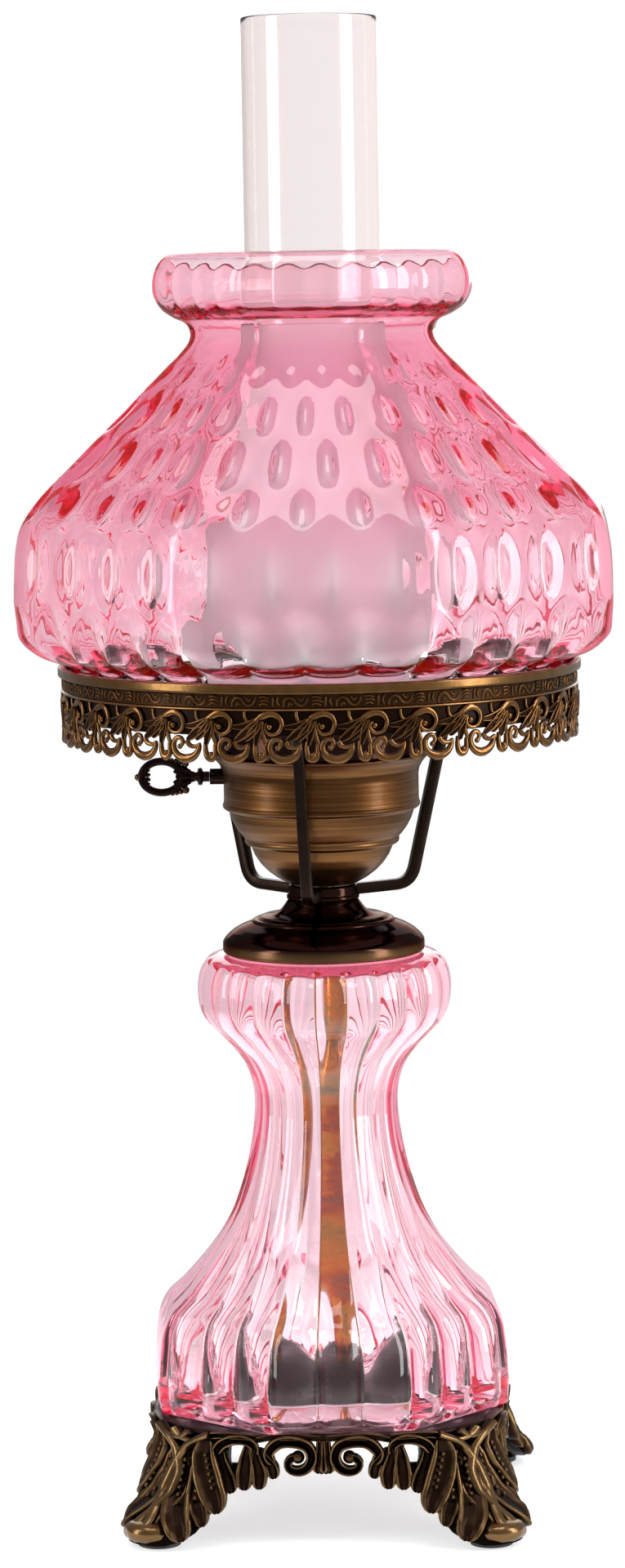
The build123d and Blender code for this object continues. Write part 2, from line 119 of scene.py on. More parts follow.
def walled(outline, wall, bead=1):
    """Closed section of a wall whose outside is the outline, with rounded edges."""
    side = inward(outline)
    across = side * np.broadcast_to(wall, len(outline))[:, None]
    inner = outline + across
    ends = []
    for i, sign in ((-1, 1), (0, -1)):
        along = np.array([across[i][1], -across[i][0]]) * sign * 0.5 * bead
        middle = outline[i] + across[i] / 2
        turns = np.linspace(0, math.pi, 7)[1:-1]
        arc = [middle - across[i] / 2 * math.cos(t) + along * math.sin(t) for t in turns]
        ends.append(np.array(arc))
    return np.vstack([outline, ends[0], inner[::-1], ends[1][::-1]])


def polar(radius, angle, height):
    """Grid of points from radii and heights at angles about the axis."""
    return np.stack([radius * np.cos(angle), radius * np.sin(angle), height + 0 * angle], axis=2)


def around(segments):
    """Even angles all the way round."""
    return np.linspace(0, 2 * math.pi, segments, endpoint=False)


def turned(section, segments):
    """Grid of points from a section of (radius, height) points."""
    r, z = np.asarray(section, float).T[:, :, None]
    return polar(r, around(segments), z)


def grid_faces(rows, columns, loop_rows, start=0):
    """Quads of a grid of points whose columns run round, row by row."""
    index = start + np.arange(rows * columns).reshape(rows, columns)
    if loop_rows:
        index = np.vstack([index, index[:1]])
    index = np.hstack([index, index[:, :1]])
    quads = np.stack([index[:-1, :-1], index[:-1, 1:], index[1:, 1:], index[1:, :-1]], axis=2)
    return quads.reshape(-1, 4)


def mesh_object(name, points, faces, material):
    """Makes a mesh object from points in millimetres."""
    mesh = bpy.data.meshes.new(name)
    mesh.from_pydata((points * MM).tolist(), [], faces.tolist())
    mesh.materials.append(material)
    obj = bpy.data.objects.new(name, mesh)
    bpy.context.scene.collection.objects.link(obj)
    return obj


class Shape:
    """Collects grids of points, in millimetres, into one mesh.

    Wear says how rubbed a casting is, and on the gallery ring's backing band a low wear is painted
    shade: one number, or one per column, row or point.
    """

    def __init__(self):
        self.points, self.faces, self.wear, self.count = [], [], [], 0

    def add(self, grid, wear=0.5, loop_rows=True):
        """Adds a grid whose columns run round, and its rows too unless told otherwise."""
        rows, columns = grid.shape[:2]
        self.faces.append(grid_faces(rows, columns, loop_rows, self.count))
        self.points.append(grid.reshape(-1, 3))
        self.wear.append(np.broadcast_to(wear, (rows, columns)).reshape(-1))
        self.count += rows * columns
        return self

    def add_closed(self, grid, wear=0.5):
        """Adds a run of sections, and closes its ends with shrinking rings."""
        self.add(grid, wear, False)
        for ring, order in ((grid[0], 1), (grid[-1], -1)):
            centre = ring.mean(axis=0)
            rings = np.stack([ring, ring * 0.4 + centre * 0.6, ring * 0.02 + centre * 0.98])
            self.add(rings[::order], wear, False)
        return self

    def merge(self, other, turn=0):
        """Adds another shape, turned about the axis."""
        x, y, z = np.vstack(other.points).T
        c, s = math.cos(turn), math.sin(turn)
        self.points.append(np.stack([c * x - s * y, s * x + c * y, z], axis=1))
        self.faces.append(np.vstack(other.faces) + self.count)
        self.wear.append(np.concatenate(other.wear))
        self.count += other.count

    def build(self, name, material, body, nodes, slot):
        """Makes the Blender object, rides it on its body and hides the nodes it stands for."""
        obj = mesh_object(name, np.vstack(self.points), np.vstack(self.faces), material)
        obj.data.validate()
        obj.data.shade_smooth()
        layer = obj.data.attributes.new("wear", "FLOAT", "POINT")
        layer.data.foreach_set("value", np.concatenate(self.wear).astype(np.float32))
        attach(obj, body)
        if nodes:
            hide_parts(*nodes)


def spun(section, segments, wear=0.5):
    """Shape turned from a section; wear is one number, or one per point of the section."""
    return Shape().add(turned(section, segments), np.broadcast_to(wear, len(section))[:, None])


# A stroke's section runs from edge to edge across its front, then round its back.
def mirrored(half, back):
    """Section of a stroke, and its wear, from the (across, out, wear) points of its left half."""
    right = [(-across, out, wear) for across, out, wear in half[::-1] if across]
    points = half + right + [(0.6, back, 0.1), (-0.6, back, 0.1)]
    return [point[:2] for point in points], [point[2] for point in points]


ROUND = [(math.cos(t), math.sin(t)) for t in around(10)]
ROUND_WEAR = [0.5 + 0.5 * out for across, out in ROUND]
LEAF, LEAF_WEAR = mirrored([(-1, 0.1, 0.2), (-1, 0.75, 0.7), (-0.86, 1, 1), (-0.66, 0.86, 0.6),
                            (-0.36, 0.38, 0), (-0.1, 0.42, 0.15), (0, 0.56, 0.5)], -0.5)
SPOON, SPOON_WEAR = mirrored([(-1, -0.1, 0.1), (-1.02, 0.4, 0.5), (-0.93, 0.8, 0.85),
                              (-0.76, 0.92, 0.9), (-0.56, 0.72, 0.62), (-0.36, 0.5, 0.42),
                              (-0.15, 0.42, 0.38), (0, 0.46, 0.5)], -0.6)
KEYSTONE_WEAR = [0.1, 0.5, 0.9, 0.9, 0.7] + [0.6] * 5 + [0.7, 0.9, 0.9, 0.5] + [0.1] * 3
CHANNEL, CHANNEL_WEAR = mirrored([(-1, 0.1, 0.2), (-1, 0.8, 0.7), (-0.78, 1, 1),
                                  (-0.5, 0.7, 0.5), (-0.2, 0.3, 0)], -0.5)


def stroke(shape, place, path, widths, heights, section=ROUND, wear=ROUND_WEAR, steps=22,
           lift=0, closed=False, tip=1):
    """Sweeps a section along a flat path and places it on a surface.

    place(across, up, out) gives the point in space.  Widths and heights follow the path.
    The far end is round, and so is the near end where tip is 2.
    """
    line = curve(path, steps, closed)
    t = np.linspace(0, 1, steps)
    w = np.interp(t, np.linspace(0, 1, len(widths)), widths) / 2
    h = np.interp(t, np.linspace(0, 1, len(heights)), heights)
    if closed:
        run = np.roll(line, -1, axis=0) - np.roll(line, 1, axis=0)
    else:
        run = np.gradient(line, axis=0)
        along = length_along(line)
        for left in [along[-1] - along] + ([along] if tip > 1 else []):
            near = np.clip(1 - left / np.maximum(w, 1e-6), 0, 0.97)
            w = w * np.sqrt(1 - near**2)
            h = h * (0.45 + 0.55 * np.sqrt(1 - near**2))
    side = square_to(run)
    rise = 0.5 * h if section is ROUND else h
    grid = np.zeros((steps, len(section), 3))
    for j, (across, out) in enumerate(section):
        flat = line + side * (w * across)[:, None]
        grid[:, j] = place(flat[:, 0], flat[:, 1], lift + rise * out)
    (shape.add if closed else shape.add_closed)(grid, wear)


# ---- materials ----
class Tree:
    """Short way to write a node tree."""

    def __init__(self, tree):
        self.tree = tree

    def add(self, kind, **values):
        node = self.tree.nodes.new(kind)
        for key, value in values.items():
            if hasattr(node, key):
                setattr(node, key, value)
            else:
                node.inputs[key.replace("_", " ")].default_value = value
        return node

    def link(self, a, b):
        self.tree.links.new(a, b)

    def put(self, socket, value):
        """Links an output to a socket, or sets the socket to a constant."""
        if hasattr(value, "is_linked"):
            self.link(value, socket)
        else:
            socket.default_value = value

    def math(self, operation, a, b=0):
        node = self.add("ShaderNodeMath", operation=operation)
        self.put(node.inputs[0], a)
        self.put(node.inputs[1], b)
        return node.outputs[0]

    def to_range(self, value, low, high, new_low=0, new_high=1):
        node = self.add("ShaderNodeMapRange")
        for socket, number in zip(node.inputs, (value, low, high, new_low, new_high)):
            self.put(socket, number)
        return node.outputs[0]

    def choose(self, chance, a, b):
        """Mixes two shaders."""
        node = self.add("ShaderNodeMixShader")
        for socket, value in zip(node.inputs, (chance, a, b)):
            self.put(socket, value)
        return node.outputs[0]


class Nodes(Tree):
    """A new material's node tree."""

    def __init__(self, name):
        self.material = bpy.data.materials.new(name)
        self.material.use_nodes = True
        super().__init__(self.material.node_tree)
        self.shader = self.tree.nodes["Principled BSDF"]
        self.output = self.tree.nodes["Material Output"]

    def set(self, **values):
        """Sets or links the shader's inputs."""
        for key, value in values.items():
            self.put(self.shader.inputs[key.replace("_", " ")], value)

    def place(self, scale=(1, 1, 1)):
        """Object coordinates, in metres, stretched."""
        where = self.add("ShaderNodeTexCoord")
        mapping = self.add("ShaderNodeMapping")
        mapping.inputs["Scale"].default_value = scale
        self.link(where.outputs["Object"], mapping.inputs["Vector"])
        return mapping.outputs["Vector"]

    def noise(self, scale, detail=4, roughness=0.55, stretch=(1, 1, 1)):
        node = self.add("ShaderNodeTexNoise", Scale=scale, Detail=detail, Roughness=roughness)
        self.link(self.place(stretch), node.inputs["Vector"])
        return node.outputs["Fac"]

    def ramp(self, value, stops):
        node = self.add("ShaderNodeValToRGB")
        bar = node.color_ramp
        while len(bar.elements) < len(stops):
            bar.elements.new(0.5)
        for element, (at, colour) in zip(bar.elements, stops):
            element.position = at
            element.color = (*colour, 1) if len(colour) == 3 else colour
        self.link(value, node.inputs["Fac"])
        return node.outputs["Color"]

    def mix(self, a, b, fac):
        node = self.add("ShaderNodeMix", data_type="RGBA")
        for index, value in ((0, fac), (6, a), (7, b)):
            self.put(node.inputs[index], (*value, 1) if isinstance(value, tuple) else value)
        return node.outputs[2]

    def worn(self, cloud, amount):
        """Wear, made uneven by a noise."""
        wear = self.add("ShaderNodeAttribute", attribute_name="wear").outputs["Fac"]
        uneven = self.math("MULTIPLY", self.math("SUBTRACT", cloud, 0.5), amount)
        return self.math("ADD", wear, uneven)

    def bump(self, height, strength, distance):
        node = self.add("ShaderNodeBump", Strength=strength, Distance=distance)
        self.link(height, node.inputs["Height"])
        self.set(Normal=node.outputs["Normal"])

    def height(self):
        """Height above the floor, in metres."""
        split = self.add("ShaderNodeSeparateXYZ")
        self.link(self.place(), split.inputs[0])
        return split.outputs["Z"]


def glass_material(name, loss, tint_stops=None, ripple=0):
    """Glass that is coloured through its thickness; loss is the absorption per metre."""
    m = Nodes(name)
    m.set(Transmission_Weight=1, Roughness=0, IOR=1.5)
    density = max(loss) * 1.02
    volume = m.add("ShaderNodeVolumeAbsorption", Density=density)
    volume.inputs["Color"].default_value = (*[1 - x / density for x in loss], 1)
    m.link(volume.outputs[0], m.output.inputs["Volume"])
    if tint_stops:
        m.set(Base_Color=m.ramp(m.to_range(m.height(), 0, 0.6), tint_stops))
    else:
        m.set(Base_Color=(1, 1, 1, 1))
    if ripple:
        m.bump(m.noise(55, 2, 0.5, (1, 1, 0.6)), ripple, 0.002)
    return m


PINK_LOSS = (4, 112, 78)        # absorption per metre in red, green and blue
CLEAR_LOSS, STACK_LOSS = (3, 4, 4), (12, 34, 36)


def shade_material():
    stops = [(0.6, (1, 1, 1)), (0.665, (0.99, 0.975, 0.98)), (0.7, (0.97, 0.895, 0.932)),
             (0.77, (0.98, 0.87, 0.93)), (0.8, (1, 0.98, 0.985)), (0.86, (1, 1, 1))]
    return glass_material("pink_shade_glass", PINK_LOSS, stops, 0.1).material


def font_material():
    stops = [(0.07, (1, 0.99, 0.99)), (0.14, (1, 0.98, 0.984)), (0.19, (1, 0.953, 0.964)),
             (0.26, (1, 0.975, 0.98)), (0.31, (1, 0.985, 0.99)), (0.36, (1, 0.955, 0.967))]
    return glass_material("pink_font_glass", [x * 0.42 for x in PINK_LOSS], stops, 0.06).material


def satin_material():
    """Etched white glass that the shade hides."""
    m = glass_material("chimney_glass_satin", CLEAR_LOSS)
    # A faint emission is painted light that brightens the etched glass inside the shade.
    m.set(Emission_Color=(1, 0.96, 0.98, 1), Emission_Strength=0.04)
    grain = m.noise(900, 2)
    m.set(Roughness=m.to_range(grain, 0.3, 0.7, 0.4, 0.48))
    m.set(Base_Color=m.ramp(grain, [(0.3, (0.97, 0.96, 0.965)), (0.7, (1, 1, 1))]))
    m.bump(grain, 0.05, 0.0002)
    return m.material


def clear_material(name):
    return glass_material(name, CLEAR_LOSS).material


def brushed_material(name, dark, middle, light):
    """Spun metal with fine turning lines round the axis and a clear lacquer."""
    m = Nodes(name)
    m.set(Metallic=1, Anisotropic=0.5, Coat_Weight=0.12, Coat_Roughness=0.15)
    fine = m.noise(1, 6, 0.7, (14, 14, 1400))
    broad = m.noise(1, 3, 0.5, (30, 30, 90))
    colour = m.ramp(fine, [(0.3, dark), (0.5, middle), (0.72, light)])
    patina_and_painted_light = m.mix(colour, tuple(0.62 * x for x in dark), m.to_range(broad, 0.45, 0.8, 0, 0.55))
    # Below the cup's shoulder the colour is painted half way towards the light tone: a painted
    # highlight on the lower bowl.
    patina_and_painted_light = m.mix(patina_and_painted_light, light, m.to_range(m.height(), 0.29, 0.268, 0, 0.5))
    m.set(Base_Color=patina_and_painted_light)
    m.set(Roughness=m.to_range(fine, 0.2, 0.8, 0.42, 0.28))
    m.bump(fine, 0.16, 0.0002)
    tangent = m.add("ShaderNodeTangent", direction_type="RADIAL", axis="Z")
    m.set(Tangent=tangent.outputs[0])
    return m.material


def cast_material(name, recess, body, edge, rough=0.38, grain=1, spread=(0.3, 0.62, 0.95)):
    """Antiqued casting: dark in the recesses, rubbed bright along the edges."""
    m = Nodes(name)
    m.set(Metallic=1, Coat_Weight=0.06, Coat_Roughness=0.25)
    worn = m.worn(m.noise(160, 5, 0.6), 0.55)
    low, mid, high = spread
    m.set(Base_Color=m.ramp(worn, [(low, recess), (mid, body), (high, edge)]))
    m.set(Roughness=m.to_range(worn, 0.1, 1, rough + 0.18, rough - 0.12))
    m.bump(m.noise(700, 4, 0.6), 0.16 * grain, 0.0004)
    return m.material


def lacquer_material(name, colour, rub, rough=0.12):
    """Glossy dark bronze lacquer with rubbed edges."""
    m = Nodes(name)
    m.set(Metallic=1, Coat_Weight=0.1, Coat_Roughness=0.1, Specular_Tint=(0.4, 0.3, 0.26, 1))
    worn = m.worn(m.noise(45, 4, 0.6), 0.25)
    shade = m.ramp(worn, [(0.45, colour), (0.74, tuple(2.6 * c for c in colour)), (0.92, rub)])
    m.set(Base_Color=shade)
    m.set(Roughness=m.to_range(worn, 0.5, 1, rough, rough + 0.2))
    m.bump(m.noise(1, 3, 0.5, (20, 20, 700)), 0.04, 0.0002)
    return m.material


def gold_tube_material():
    """Gold plated tube with copper, violet and green heat colours."""
    m = Nodes("iridescent_gold_tube")
    m.set(Metallic=1, Coat_Weight=0.5, Coat_Roughness=0.08)
    band = m.noise(1, 4, 0.65, (60, 60, 38))
    colour = m.ramp(band, [(0.34, (0.1, 0.085, 0.03)), (0.43, (0.34, 0.19, 0.03)),
                           (0.5, (0.5, 0.18, 0.018)), (0.56, (0.38, 0.075, 0.012)),
                           (0.66, (0.2, 0.085, 0.055))])
    m.set(Base_Color=colour)
    m.set(Roughness=m.to_range(m.noise(240, 4), 0.3, 0.7, 0.16, 0.34))
    m.bump(m.noise(180, 3), 0.08, 0.0004)
    return m.material


def silicone_material(name, colour, glow=0):
    """Milky translucent gasket; glow stands for the light it passes on from the glass."""
    m = Nodes(name)
    m.set(Transmission_Weight=0.6, IOR=1.41, Emission_Color=(*colour, 1), Emission_Strength=glow)
    haze = m.noise(400, 3)
    m.set(Base_Color=m.ramp(haze, [(0.3, colour), (0.7, tuple(0.6 * c + 0.4 for c in colour))]))
    m.set(Roughness=m.to_range(haze, 0.3, 0.7, 0.35, 0.5))
    return m.material


def dark_paint_material(name):
    """Near-black paint with a brown cast."""
    m = Nodes(name)
    m.set(Specular_IOR_Level=0.15)
    cloud = m.noise(90, 4)
    m.set(Base_Color=m.ramp(cloud, [(0.38, (0.003, 0.0008, 0.0006)),
                                    (0.7, (0.024, 0.006, 0.003))]))
    m.set(Roughness=m.to_range(cloud, 0.3, 0.7, 0.22, 0.4))
    m.bump(cloud, 0.05, 0.0003)
    return m.material


METAL_CLASSES = ("brass", "brushed_steel", "aluminium", "cast_iron", "chrome")


def plain_material(slot):
    """Finish for a CAD node that stays: the slot's own colour with grain and variation."""
    m = Nodes("finish_" + slot["slot"])
    colour = slot["base_color"][:3]
    glass, metal = slot["class"] == "glass", slot["class"] in METAL_CLASSES
    if glass:
        m.set(Transmission_Weight=1, Roughness=0, IOR=1.5)
    m.set(Metallic=1 if metal else 0)
    grain = m.noise(1, 4, 0.6, (60, 60, 500) if metal else (220, 220, 220))
    dark = tuple(c * 0.72 for c in colour)
    light = tuple(min(1, c * 1.15) for c in colour)
    m.set(Base_Color=m.ramp(grain, [(0.3, dark), (0.7, light)]))
    if not glass:
        smooth, rough = (0.28, 0.42) if metal else (0.55, 0.75)
        m.set(Roughness=m.to_range(grain, 0.2, 0.8, smooth, rough))
        m.bump(grain, 0.08, 0.0003)
    return m.material


# ---- octagonal glass ----
def octagon(angle, sharpness):
    """Radius of an octagon, 1 at the middle of each side; sharper ones have tighter corners."""
    total = np.zeros_like(angle)
    at_middle = 0.0
    for side in range(SIDES):
        turn = side * 2 * math.pi / SIDES
        total += np.maximum(np.cos(angle - FRONT - turn), 0) ** sharpness
        at_middle += max(math.cos(turn), 0) ** sharpness
    return (at_middle / total) ** (1 / sharpness)


def smoothstep(value, low, high):
    t = np.clip((value - low) / (high - low), 0, 1)
    return t * t * (3 - 2 * t)


SHADE_SIDE = [(100.8, 339.2), (100.8, 343), (101, 346.6), (106.4, 348.8), (112.8, 352),
              (116.7, 358), (118, 368), (118.2, 382), (117.4, 394.4), (114.8, 405), (109.6, 413.6),
              (98, 425.4), (84, 439.4), (70, 453.4), (58, 465.4), (52, 471.4), (48.9, 475.6),
              (48.3, 479), (50.2, 482.4), (55.6, 485), (60.4, 488.4), (63.3, 493.4), (64, 498.6),
              (62.9, 503.8), (60.4, 508), (57.4, 510.2)]
# Rows of thumbprint dimples: middle height, half a pitch of stagger, half height,
# half width as a share of the pitch, depth of the bowl, depth of its core.
DIMPLES = [(462.5, 0.5, 5.5, 0.4, 0.3, 0.4), (448, 0, 10, 0.44, 0.9, 1.6),
           (430.5, 0.5, 12, 0.46, 1, 2), (413.5, 0, 10.5, 0.46, 1, 1.9),
           (388.5, 0.5, 17.5, 0.43, 1.3, 1.2), (362.5, 0, 13.5, 0.44, 2, 0.5)]
CORE_WIDE, CORE_TALL = 0.4, 0.72        # core as a share of its dimple


def dimple_depth(angle, z):
    """How deep the thumbprints go at each angle and height."""
    pitch = 2 * math.pi / MOTIFS
    depth = np.zeros(np.broadcast(angle, z).shape)
    for middle, stagger, half_height, half_width, bowl, core in DIMPLES:
        across = ((angle - FRONT) / pitch + stagger + 0.5) % 1 - 0.5
        side, rise = (across / half_width) ** 2, ((z - middle) / half_height) ** 2
        inside = side / CORE_WIDE**2 + rise / CORE_TALL**2
        depth = np.maximum(depth, bowl * np.clip(1 - side - rise, 0, 1) ** 1.4
                           + core * np.clip(1 - inside, 0, 1))
    return depth


def shade_glass():
    """Thick octagonal shade with staggered thumbprints and a bulbous rim."""
    outer = curve(SHADE_SIDE, 190)
    rise = outer[:, 1]
    wall = 3.0 + 0.5 * smoothstep(rise, 392, 420) - 1.1 * smoothstep(rise, 480, 492)
    section = walled(outer, wall, 1.1)
    count, total = len(outer), len(section)
    outside, inside = slice(0, count), slice(total // 2, total // 2 + count)
    is_outer, is_inner, away = np.zeros((total, 1)), np.zeros((total, 1)), np.zeros((total, 2))
    is_outer[outside] = is_inner[inside] = 1
    away[outside] = -inward(outer)
    away[inside] = away[outside][::-1]
    angle = around(512)
    r, z = section.T[:, :, None]
    square = smoothstep(z, 346.5, 361) * (1 - 0.35 * smoothstep(z, 478, 490))
    # The cone's glass is thicker along its corners.
    square *= 1 - 0.4 * is_inner * smoothstep(z, 404, 420) * (1 - smoothstep(z, 462, 476))
    radius = r * (1 + (octagon(angle, 58) - 1) * square)
    dimples = dimple_depth(angle, z)
    ripple = np.abs(np.sin((angle - FRONT) * MOTIFS / 2))
    flare = smoothstep(z, 345.5, 349) * (1 - smoothstep(z, 352, 364))
    rim = smoothstep(z, 482, 490) * (1 - smoothstep(z, 503, 508))
    push = -(dimples + 2.2 * (1 - ripple) ** 1.5 * flare + 0.45 * (1 - ripple) * rim) * is_outer
    push -= 0.21 * dimples * is_inner
    grid = polar(radius + push * away[:, :1], angle, z + push * away[:, 1:])
    Shape().add(grid).build("shade_glass_dimpled", shade_material(), "shade", ["shade_glass"],
                            "pink_glass")


FONT_TURN = math.radians(5.8)
FLUTES = 24
FONT_SIDE = [(69.6, 45.6), (70.8, 48), (71.3, 56), (71.1, 64), (70.4, 71), (69, 79), (65.8, 85.6),
             (59.5, 92), (53.6, 99), (48, 106.5), (43.2, 114), (39.3, 121.5), (35.4, 132),
             (32.5, 142), (30.4, 152.5), (29.2, 163), (29.2, 170.5), (30.4, 177), (33, 183.5),
             (37.4, 189.6), (43, 195.6), (48, 200.8), (50.6, 206), (51.4, 212), (51.1, 218),
             (49.6, 223), (46.6, 226.4), (43, 227.5)]


def fluting(angle):
    """Height of the flutes round the font, from 0 in the creases to 1 on the crests."""
    return np.abs(np.sin((angle - FRONT - math.pi / SIDES) * FLUTES / 2))


def font_glass():
    """Thick fluted font, octagonal at the foot and round at the top."""
    outer = curve(FONT_SIDE, 210)
    z = outer[:, 1]
    wall = 3.6 + 3.0 * (1 - smoothstep(z, 46, 60)) + 0.8 * (1 - smoothstep(z, 60, 100))
    side = inward(outer)
    inner = outer + side * wall[:, None]
    inner[:, 1] = np.minimum(inner[:, 1], 223.6)
    inner[:, 0] = np.maximum(inner[:, 0], 20)
    inner = inner[inner[:, 1] > 60]
    foot = rounded([inner[0] + (0, -1), (inner[0][0], 56), (63.6, 48), (63.6, 46.2)], 2, 5)
    inner = np.vstack([foot[::-1], inner])
    lip = np.array([(38, 227.5), (30, 227.5), (22, 227.4), (20.4, 226.6), (20, 225.4),
                    (20.4, 224.2), (22, 223.6), (30, 223.6)])
    section = np.vstack([outer, lip, inner[::-1]])
    is_outer, away = np.zeros((len(section), 1)), np.zeros((len(section), 2))
    is_outer[:len(outer)], away[:len(outer)] = 1, -side
    angle = around(480)
    r, z = section.T[:, :, None]
    sharp, soft = octagon(angle, 150) - 1, octagon(angle, 30) - 1
    blend = smoothstep(z, 62, 110)
    corner = sharp * (1 - blend) + soft * blend
    radius = r * (1 + corner * (1 - 0.93 * smoothstep(z, 84, 128)))
    fade = smoothstep(z, 46.5, 52) * (1 - smoothstep(z, 224.5, 227.4))
    depth = 0.9 + 3.3 * (1 - smoothstep(z, 66, 112)) + 0.9 * smoothstep(z, 180, 205)
    push = -depth * (1 - fluting(angle)) ** 1.1 * fade * is_outer
    grid = polar(radius + push * away[:, :1], angle + FONT_TURN, z + push * away[:, 1:])
    Shape().add(grid).build("font_glass_fluted", font_material(), "lamp", ["font_glass"],
                            "pink_glass")

    floor_side = rounded([(50, 46), (62.4, 46), (62.8, 47), (62.6, 50.6), (60, 52.6), (52, 51.6)],
                         1, 4, True)
    r, z = floor_side.T[:, :, None]
    angle = around(240)
    wave = 0.5 * fluting(angle) * smoothstep(z, 48, 51)
    grid = polar(r * (1 + (octagon(angle, 60) - 1) * 0.9), angle + FONT_TURN, z + wave)
    clear = glass_material("font_floor_glass", [x * 0.1 for x in PINK_LOSS], None, 0.25).material
    Shape().add(grid).build("font_glass_floor", clear, "lamp", [], "pink_glass")


CHIMNEY_WALL = 1.9


def chimney_glass():
    """Thin chimney: fitter, bulge and straight stack with a fire-polished rim."""
    low, high = (corner[2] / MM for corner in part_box("chimney_glass"))
    side = [(37.9, low + 1), (37.9, 311), (38.6, 316), (41.4, 327), (46.6, 347), (49.2, 371),
            (47.2, 397), (40.4, 423), (33, 444), (29.2, 460), (27.7, 474), (27.5, 486)]
    spun(walled(curve(side, 90), CHIMNEY_WALL, 0.4), 160).build(
        "chimney_satin_bulge", satin_material(), "chimney", ["chimney_glass"], "clear_glass")
    stack = curve([(27.5, 486.3), (27.45, 540), (27.4, high - 0.9)], 40)
    clear = glass_material("chimney_glass_clear", STACK_LOSS).material
    spun(walled(stack, CHIMNEY_WALL), 160).build("chimney_clear_stack", clear, "chimney", [],
                                                 "clear_glass")


# ---- turned metal ----
CUP_SIDE = [(6, 256), (14, 256.2), (18.4, 258.7), (21.9, 261.3), (24.9, 264.4), (27.2, 267.8),
            (28.5, 270.9), (28.9, 271.9), (30.3, 272.2), (31.1, 272.9), (31.3, 273.8),
            (31.2, 274.6), (31.5, 275.3), (32.7, 276.6), (34.6, 279.2), (36.2, 282.2),
            (37.3, 285.4), (37.6, 286.4), (38.9, 286.7), (39.8, 287.5), (40, 288.5), (39.5, 289.5),
            (39.4, 291), (39.4, 296), (39.4, 300.4), (39.8, 302.8), (41.2, 305.4), (43.4, 307.8),
            (44.2, 308.3)]
CAP_SIDE = [(40.2, 228.5), (40.8, 229), (40.9, 229.8), (40.9, 232.6), (40.5, 233.5), (39.4, 234.9),
            (37.2, 236.9), (34.2, 238.7), (30.9, 240), (29, 240.7), (28.6, 241.5), (27.9, 241.9),
            (26.9, 241.8), (26.2, 242.2), (25.2, 242.9), (23.4, 243.1), (21, 243.4), (18.8, 244.2),
            (17, 245.6), (15.6, 247.4), (14.4, 249.2)]
HUB_SIDE = [(8, 249.6), (14.2, 249.6), (14.7, 250), (14.7, 251.2), (14.2, 251.6), (14, 252),
            (14, 254.6), (13.6, 255.3), (12.9, 255.6), (8, 255.6)]
COLLAR_SIDE = [(38.9, 304.9), (40.2, 305.2), (40.7, 306.4), (40.9, 312), (40.9, 318.8),
               (41.5, 320.6)]
CAP_SHOULDER_Z, CAP_BEAD_Z = 230.2, 241.4       # heights where the cap is rubbed bright


def turned_metal():
    """Cup, cap and hub as fine turnings in place of the plain ones."""
    brass = brushed_material("antique_brass_brushed", (0.058, 0.022, 0.0065), (0.128, 0.052, 0.015),
                             (0.26, 0.125, 0.042))
    cup = walled(rounded(CUP_SIDE, 0.6, 3), 0.9)
    spun(cup, 224).build("burner_cup_spun", brass, "lamp", ["burner_cup"], "antique_brass")

    bronze = lacquer_material("dark_bronze_lacquer", (0.026, 0.01, 0.0062), (0.19, 0.105, 0.046))
    cap = walled(rounded(CAP_SIDE, 0.7, 4), 1.3)
    height = cap[:, 1]
    wear = 0.32 + 0.6 * np.exp(-((height - CAP_SHOULDER_Z) / 3) ** 4) + 0.3 * np.exp(
        -((height - CAP_BEAD_Z) / 0.6) ** 2)
    collar = walled(rounded(COLLAR_SIDE, 0.5, 3), 0.7)
    hub = rounded(HUB_SIDE, 0.3, 3)
    for section, segments, rub, name, nodes in (
            (cap, 224, wear, "vase_cap_turned", ["vase_cap"]),
            (collar, 160, 0.4, "chimney_collar", []),
            (hub, 96, 0.3, "spider_hub_turned", ["spider_hub"])):
        spun(section, segments, rub).build(name, bronze, "lamp", nodes, "dark_bronze")


ARM_AZIMUTHS = (-6.5, 113.5, -126.5)
ARM_PATH = [(11, 252.6), (38.4, 253.6), (54.3, 320), (84, 335.2), (101, 335.2)]
ARM_HALF, ARM_EDGE, ARM_BEVEL = 2.2, 0.55, 0.16     # half the bar, and how its edge is cut


def bar_arms():
    """Three bent square bars from the hub to the ring."""
    metal = cast_material("arm_bronze_satin", (0.01, 0.0062, 0.0046), (0.022, 0.0125, 0.009),
                          (0.065, 0.039, 0.024), 0.3, 0.5, (0.35, 0.65, 1))
    path = rounded(ARM_PATH, 7, 8)
    fine = [path[0]]
    for a, b in zip(path[:-1], path[1:]):
        pieces = max(1, int(np.linalg.norm(b - a) / 4))
        fine += [a + (b - a) * (i + 1) / pieces for i in range(pieces)]
    path = np.array(fine)
    square = inward(path)
    half, flat, bevel = ARM_HALF, ARM_HALF - ARM_EDGE, ARM_HALF - ARM_BEVEL
    corners = []
    for sx, sy in QUARTERS:
        mid = [(sx * half, sy * flat), (sx * bevel, sy * bevel), (sx * flat, sy * half)]
        corners += mid if sx * sy > 0 else mid[::-1]
    for number, azimuth in enumerate(ARM_AZIMUTHS, 1):
        turn = FRONT + math.radians(azimuth)
        radial = np.array([math.cos(turn), math.sin(turn)])
        aside = np.array([-radial[1], radial[0]])
        grid = np.zeros((len(path), len(corners), 3))
        for j, (across, up) in enumerate(corners):
            r = path[:, 0] + square[:, 0] * up
            grid[:, j, :2] = r[:, None] * radial + across * aside
            grid[:, j, 2] = path[:, 1] + square[:, 1] * up
        Shape().add_closed(grid, [0.55, 1, 0.55] * len(QUARTERS)).build(
            f"shade_arm_bar_{number}", metal, "lamp", [f"shade_arm_{number}"], "arm_bronze")


